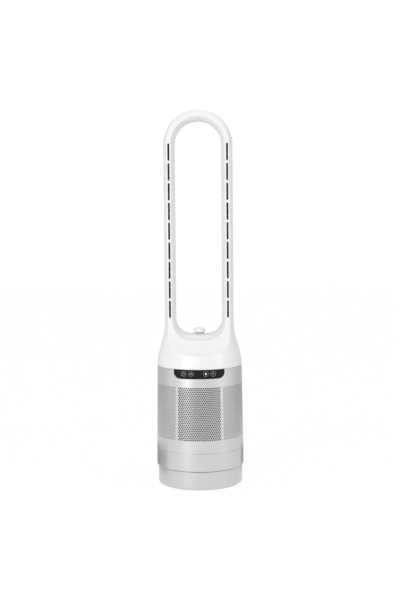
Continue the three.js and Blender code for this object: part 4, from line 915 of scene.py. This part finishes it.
def eased_corner(before, corner, after):
    """Four places that round off a corner."""
    corner = Vector(corner)
    back = Vector(before) - corner
    ahead = Vector(after) - corner
    a = corner + back.normalized() * min(size.edge, back.length * EASE_SHARE)
    b = corner + ahead.normalized() * min(size.edge, ahead.length * EASE_SHARE)
    shares = steps(0.0, 1.0, EASE_STEPS)
    return [tuple(a * (1 - t) ** 2 + corner * 2 * t * (1 - t) + b * t * t) for t in shares]


def loop_chain(inner, face, outer, tail=None):
    """One line of places from the seam in the opening over the flat face to the seam outside."""
    first = eased_corner(inner[-2], inner[-1], face[1])
    second = eased_corner(face[-2], face[-1], outer[1])
    inwards = (Vector(inner[0]) - Vector(outer[-1])).normalized()
    if tail is None:
        tail = [tuple(Vector(outer[-1]) + inwards * depth) for depth in SEAM_DEPTHS]
    start = tuple(Vector(inner[0]) - inwards * SEAM_DEPTHS[-1])
    return [start, *inner[:-1], *first, *face[1:-1], *second, *outer[1:], *tail]


def foot_chain(form, i, crease):
    """Line number i of the loop's foot, which ends at a place of the crease."""
    t_low, x_low, depth_low, z_low = crease
    corner = size.saddle_corner
    corner_x, corner_z = size.opening_half - corner, size.saddle + corner
    turn = radians(90.0 * ((i - FLAT_STEPS) / (FOOT_STEPS - FLAT_STEPS) - 1.0))

    def spot(grow):
        """A place on the opening's outline, grown outwards."""
        if i <= FLAT_STEPS:
            return corner_x * i / FLAT_STEPS, size.saddle - grow
        return corner_x + (corner + grow) * cos(turn), corner_z + (corner + grow) * sin(turn)

    dip = 1.0 + DIP * (1.0 - i / FOOT_STEPS) ** DIP_POWER
    x_edge, z_edge = spot(form.bulge(form.face) * dip)
    t_edge = form.slab_at(z_edge)
    inner = []
    for y in steps(SEAM, form.slab(t_edge)[0], INNER_STEPS):
        x, z = spot(form.bulge(y) * dip)
        inner.append((x, -y, z))
    face = []
    for share in steps(0.0, 1.0, FACE_STEPS):
        depth, z = form.slab(t_edge + (t_low - t_edge) * share)
        face.append((x_edge + (x_low - x_edge) * share, -depth, z))
    face[-1] = (x_low, -depth_low, z_low)
    begin = asin(min(1.0, x_low / form.body(z_low)))
    side = acos(SEAM / form.body(z_low))
    rim = form.low + RIM_RISE
    tail = None
    if i <= RIM_STEPS:
        goal = (side * i / RIM_STEPS, rim)
        rim_radius = form.body(form.low)
        tail = [swung(rim_radius - back, goal[0], form.low + up) for back, up in RIM_TAIL]
    else:
        climb = ((i - RIM_STEPS) / (FOOT_STEPS - RIM_STEPS)) ** RISE_POWER
        goal = (side, rim + (z_low - rim) * climb)
    outer = []
    for share in steps(0.0, 1.0, OUTER_STEPS):
        z = z_low + (goal[1] - z_low) * share
        outer.append(swung(form.body(z), begin + (goal[0] - begin) * share, z))
    return loop_chain(inner, face, outer, tail)


def upper_chain(form, place):
    """A line of the column or the arch; place() turns a reach from the middle and a depth into a point."""
    bends = steps(acos(form.face / form.radius), acos(SEAM / form.radius), OUTER_STEPS)
    inner = [place(size.opening_half + form.bulge(y), -y) for y in steps(SEAM, form.face, INNER_STEPS)]
    outer = [place(*swung(form.radius, bend, 0.0)[:2]) for bend in bends]
    face = [tuple(Vector(inner[-1]).lerp(Vector(outer[0]), share)) for share in steps(0.0, 1.0, FACE_STEPS)]
    return loop_chain(inner, face, outer)


def loop_chains(form, cell_rows):
    """All lines of a quarter of the loop, from the middle of the saddle to the top of the arch."""
    centre = size.arch_height
    chains = [foot_chain(form, i, crease) for i, crease in enumerate(form.crease(FOOT_STEPS))]
    for z in cell_rows:
        drop = max(0.0, z - centre)
        chains.append(upper_chain(form, lambda reach, y: (sqrt(reach**2 - drop * drop), y, z)))
    start = asin((cell_rows[-1] - centre) / size.opening_half) + radians(ARCH_START)
    for turn in steps(start, pi / 2, ARCH_STEPS):
        chains.append(upper_chain(
            form, lambda reach, y: (reach * cos(turn), y, centre + reach * sin(turn))
        ))
    return chains


def slot_outline(centre_x, centre_z):
    """The slot's outline, one place for each place on its cell's border, in the same order."""
    reach = size.slot_width / 2
    straight = size.slot_length / 2 - reach

    def cap(turn):
        return reach * cos(radians(turn)), straight + reach * sin(radians(turn))

    shoulder = [cap(turn) for turn in SHOULDERS]
    side = [(x, -z) for x, z in reversed(shoulder)]
    side += [(reach, z) for z in steps(-straight, straight, CELL_STEPS - 2 * len(SHOULDERS))]
    side += shoulder
    crown = [cap(turn) for turn in steps(SHOULDERS[-1], 180.0 - SHOULDERS[-1], FACE_STEPS)[1:-1]]
    places = [(-x, z) for x, z in side + crown] + side[::-1] + [(x, -z) for x, z in crown]
    return [(centre_x + x, centre_z + z) for x, z in places]


def loop_quarter(with_slots):
    """A quarter of the loop on the right and in front."""
    form = LoopForm()
    pitch = size.slot_length + size.slot_space
    cells_low = size.slot_low - size.slot_space / 2
    cell_rows = steps(cells_low, cells_low + pitch * size.slot_count, CELL_STEPS * size.slot_count)
    skin = Skin()
    rows = [skin.row(chain) for chain in loop_chains(form, cell_rows)]
    first_cell = FOOT_STEPS + 1
    left = 1 + INNER_STEPS + EASE_STEPS
    right = left + FACE_STEPS
    for i, (low, high) in enumerate(zip(rows, rows[1:])):
        if with_slots and first_cell <= i < first_cell + len(cell_rows) - 1:
            skin.strip(low[: left + 1], high[: left + 1])
            skin.strip(low[right:], high[right:])
        else:
            skin.strip(low, high)
    for cell in range(size.slot_count if with_slots else 0):
        start = first_cell + cell * CELL_STEPS
        block = rows[start : start + CELL_STEPS + 1]
        border = [row[left] for row in block]
        border += block[-1][left + 1 : right]
        border += [row[right] for row in reversed(block)]
        border += list(reversed(block[0][left + 1 : right]))
        centre_z = cells_low + pitch * (cell + 0.5)
        centre_x = (skin.points[block[0][left]][0] + skin.points[block[0][right]][0]) / 2 / MM
        outline = slot_outline(centre_x, centre_z)
        rim, near, far = (skin.row([(x, -form.face + depth, z) for x, z in outline])
                          for depth in (0.0, SLOT_GAP, SLOT_WALL))
        skin.strip(border, rim, closed=True)
        skin.strip(near, far, closed=True)
    return skin


def on_shaded_slot_wall(at):
    """A rule that chooses the walls of the outlet slots, which are painted black as the shade inside the
    slots.
    """
    middle = (size.loop_radius + size.opening_half) / 2
    aside = abs(abs(at.x) - middle) < size.slot_width / 2 + SLOT_MARGIN
    inside = FACE_MARGIN < at.y + size.loop_face < SLOT_WALL + FACE_MARGIN
    return aside and inside and at.z < size.arch_height + ARCH_MARGIN


def build_shell(name, node, rear):
    """The front shell of the loop with its slots, or the plain rear shell."""
    skin = loop_quarter(with_slots=not rear)
    if rear:
        skin.points = [(x, -y, z) for x, y, z in skin.points]
        skin.faces = [tuple(reversed(face)) for face in skin.faces]
    skin.mirrored()
    shell = skin.piece(name, "tower", "white_shell", weld=SHELL_WELD)
    rework(shell.data, lambda work: bmesh.ops.recalc_face_normals(work, faces=work.faces))
    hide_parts(node)
    if not rear:
        # The slots' walls are painted black: painted shade deep in the narrow slots.
        paint_shade_on_faces(shell, "black_plastic", on_shaded_slot_wall)
    even_shading(shell)


# ------ carried-over pieces


def dress_inner_pieces():
    """Finishes for the pieces that keep the solid's own shape."""
    table = {entry["node"]: entry["material_slot"] for entry in frame["record"]["subparts"]}
    for node, piece in nodes.items():
        # The side prefilters take the pale mesh, partly a painted highlight on the drum's sides.
        finish = "pale_filter" if node.startswith("side_prefilter") else table[node]
        piece.data.materials.clear()
        piece.data.materials.append(finishes[finish])


# ------ stage


# Name, place, target, width, height and power of each lamp, in metres and watts.
LAMPS = (
    ("key lamp", (-1.3, -2.0, 1.0), (0.0, 0.0, 0.45), 0.7, 1.95, 20.0),
    ("fill lamp", (2.0, -1.2, 1.0), (0.0, 0.0, 0.45), 0.9, 1.8, 9.0),
    ("top lamp", (0.2, 0.3, 2.6), (0.0, 0.0, 0.4), 1.6, 1.2, 7.0),
)
# Name, first and last angle, radius, height and tone of each card.
CARDS = (
    ("tall card", 98.0, 268.0, 1000.0, 1300.0, 0.6),
    ("low card", 112.0, 283.0, 240.0, 66.0, 0.16),
)
CARD_STEPS = 48
FLOOR_REACH = 9000.0
FLOOR_DROP = 0.2
FLOOR_TONES = (0.89, 0.91)
FLOOR_WHITE = 0.98
ROOM_LIGHT = 0.67
CAMERA_PLACE = (0.00346, -2.503, 0.6554)  # metres, before the turn round the fan
CAMERA_TURN, CAMERA_TILT, CAMERA_ROLL = 0.0148, 0.0746, 0.0082  # radians
FOCAL_SHARE = 981.9 / 601.0  # focal length over the picture's height
SENSOR = 36.0


def area_lamp(name, place, target, width, height, power):
    data = bpy.data.lights.new(name, "AREA")
    assign(data, shape="RECTANGLE", size=width, size_y=height, energy=power)
    lamp = put_in_scene(name, data)
    lamp.location = place
    lamp.rotation_euler = (Vector(target) - Vector(place)).to_track_quat("-Z", "Y").to_euler()


def card(name, start, end, radius, height, tone):
    """A curved grey studio card that the silver skin mirrors, from one angle to another round the back."""
    skin = Skin()
    skin.grid([[around(radius, turn, z) for turn in steps(start, end, CARD_STEPS)] for z in (0.0, height)])
    piece = skin.bare(name)
    piece.data.materials.append(moulded(name, [tone] * 3, roughness=0.9))
    assign(piece, visible_camera=False, visible_shadow=False, visible_diffuse=False)


def whiten_for_view(tree, plain, white, share, output):
    """Mixes in a share of white for rays from the camera, in a mirror or through glass, and no others."""
    rays = tree.nodes.new("ShaderNodeLightPath").outputs
    seen = combine(tree, "MAXIMUM", rays["Is Camera Ray"], rays["Is Glossy Ray"])
    seen = combine(tree, "MAXIMUM", seen, rays["Is Transmission Ray"])
    mix = tree.nodes.new("ShaderNodeMixShader")
    for source, socket in zip((combine(tree, "MULTIPLY", seen, share), plain, white), mix.inputs):
        tree.links.new(source, socket)
    tree.links.new(mix.outputs["Shader"], tree.nodes[output].inputs["Surface"])


def build_floor():
    skin = Skin()
    lines = steps(-FLOOR_REACH, FLOOR_REACH, 4)
    skin.grid([[(x, y, -FLOOR_DROP) for x in lines] for y in lines])
    floor = skin.bare("studio_floor")
    finish = Finish("pale floor", [0.9, 0.9, 0.9], roughness=0.6)
    finish.tones(finish.noise(even(2.0)), *[[tone] * 3 for tone in FLOOR_TONES])
    glow = finish.add("ShaderNodeEmission", Strength=1.0)
    whiten_for_view(finish.tree, finish.shader.outputs["BSDF"], glow.outputs["Emission"], FLOOR_WHITE,
                    "Material Output")
    floor.data.materials.append(finish.material)


def build_world():
    """Even light from all sides, and white wherever the surroundings are seen."""
    world = bpy.data.worlds.new("studio")
    bpy.context.scene.world = world
    world.use_nodes = True
    tree = world.node_tree
    soft = tree.nodes["Background"]
    white = tree.nodes.new("ShaderNodeBackground")
    for node, strength in ((soft, ROOM_LIGHT), (white, 1.0)):
        node.inputs["Color"].default_value = WHITE
        node.inputs["Strength"].default_value = strength
    whiten_for_view(tree, soft.outputs["Background"], white.outputs["Background"], 1.0, "World Output")


def build_camera():
    """The camera as the fit to the photograph gives it: moved round the fan, tilted down and rolled."""
    turn = Matrix.Rotation(CAMERA_TURN, 4, "Z")
    tilt = Matrix.Rotation(pi / 2 - CAMERA_TILT, 4, "X")
    roll = Matrix.Rotation(-CAMERA_ROLL, 4, "Z")
    data = bpy.data.cameras.new("camera")
    assign(data, lens=FOCAL_SHARE * SENSOR, sensor_width=SENSOR, clip_end=50.0)
    camera = put_in_scene("camera", data)
    camera.matrix_world = turn @ Matrix.Translation(CAMERA_PLACE) @ tilt @ roll
    bpy.context.scene.camera = camera


# ------ operators


class FAN_OT_stage(bpy.types.Operator):
    """Sets up the floor, the lamps, the surroundings and the camera."""

    bl_idname = "fan.stage"
    bl_label = "Stage"

    def execute(self, context):
        size.refresh()
        context.scene.view_settings.view_transform = "Standard"
        build_floor()
        build_world()
        for lamp in LAMPS:
            area_lamp(*lamp)
        for entry in CARDS:
            card(*entry)
        build_camera()
        return {"FINISHED"}


class FAN_OT_finishes(bpy.types.Operator):
    """Makes the finishes and dresses the pieces that keep their own shape."""

    bl_idname = "fan.finishes"
    bl_label = "Finishes"

    def execute(self, context):
        size.refresh()
        make_finishes()
        dress_inner_pieces()
        return {"FINISHED"}


class FAN_OT_loop(bpy.types.Operator):
    """Builds the loop's front shell with its outlet slots, and its rear shell."""

    bl_idname = "fan.loop"
    bl_label = "Air loop"

    def execute(self, context):
        size.refresh()
        build_shell("loop_front_skin", "loop_front_shell", rear=False)
        build_shell("loop_rear_skin", "loop_rear_shell", rear=True)
        return {"FINISHED"}


class FAN_OT_drum(bpy.types.Operator):
    """Builds the perforated drum."""

    bl_idname = "fan.drum"
    bl_label = "Perforated drum"

    def execute(self, context):
        size.refresh()
        build_drum()
        return {"FINISHED"}


class FAN_OT_cover(bpy.types.Operator):
    """Builds the perforated rear cover."""

    bl_idname = "fan.cover"
    bl_label = "Rear cover"

    def execute(self, context):
        size.refresh()
        build_cover()
        return {"FINISHED"}


class FAN_OT_base(bpy.types.Operator):
    """Builds the standing base and the turning band."""

    bl_idname = "fan.base"
    bl_label = "Base"

    def execute(self, context):
        size.refresh()
        build_plinth()
        build_band()
        return {"FINISHED"}


class FAN_OT_display(bpy.types.Operator):
    """Builds the display and its touch marks."""

    bl_idname = "fan.display"
    bl_label = "Display"

    def execute(self, context):
        size.refresh()
        build_display()
        return {"FINISHED"}


class FAN_OT_knob(bpy.types.Operator):
    """Builds the lock knob on the saddle."""

    bl_idname = "fan.knob"
    bl_label = "Lock knob"

    def execute(self, context):
        size.refresh()
        build_knob()
        return {"FINISHED"}


OPERATORS = (FAN_OT_stage, FAN_OT_finishes, FAN_OT_loop, FAN_OT_drum, FAN_OT_cover, FAN_OT_base,
             FAN_OT_display, FAN_OT_knob)


class FAN_PT_panel(bpy.types.Panel):
    """Lists the steps that build the fan, with its sizes and colours."""

    bl_idname = "FAN_PT_panel"
    bl_label = "Bladeless Fan"
    bl_space_type = "VIEW_3D"
    bl_region_type = "UI"
    bl_category = "Fan"

    def draw(self, context):
        for operator in OPERATORS:
            self.layout.operator(operator.bl_idname)
        for group in (context.scene.fan_sizes, context.scene.fan_colours):
            box = self.layout.box()
            for key in group.__annotations__:
                box.prop(group, key)


CLASSES = (FanSizes, FanColours, *OPERATORS, FAN_PT_panel)


def register():
    for entry in CLASSES:
        bpy.utils.register_class(entry)
    bpy.types.Scene.fan_sizes = bpy.props.PointerProperty(type=FanSizes)
    bpy.types.Scene.fan_colours = bpy.props.PointerProperty(type=FanColours)


def unregister():
    del bpy.types.Scene.fan_colours
    del bpy.types.Scene.fan_sizes
    for entry in reversed(CLASSES):
        bpy.utils.unregister_class(entry)


def main():
    register()
    bpy.ops.fan.stage()
    bpy.ops.fan.finishes()
    bpy.ops.fan.loop()
    bpy.ops.fan.drum()
    bpy.ops.fan.cover()
    bpy.ops.fan.base()
    bpy.ops.fan.display()
    bpy.ops.fan.knob()


if __name__ == "__main__":
    main()
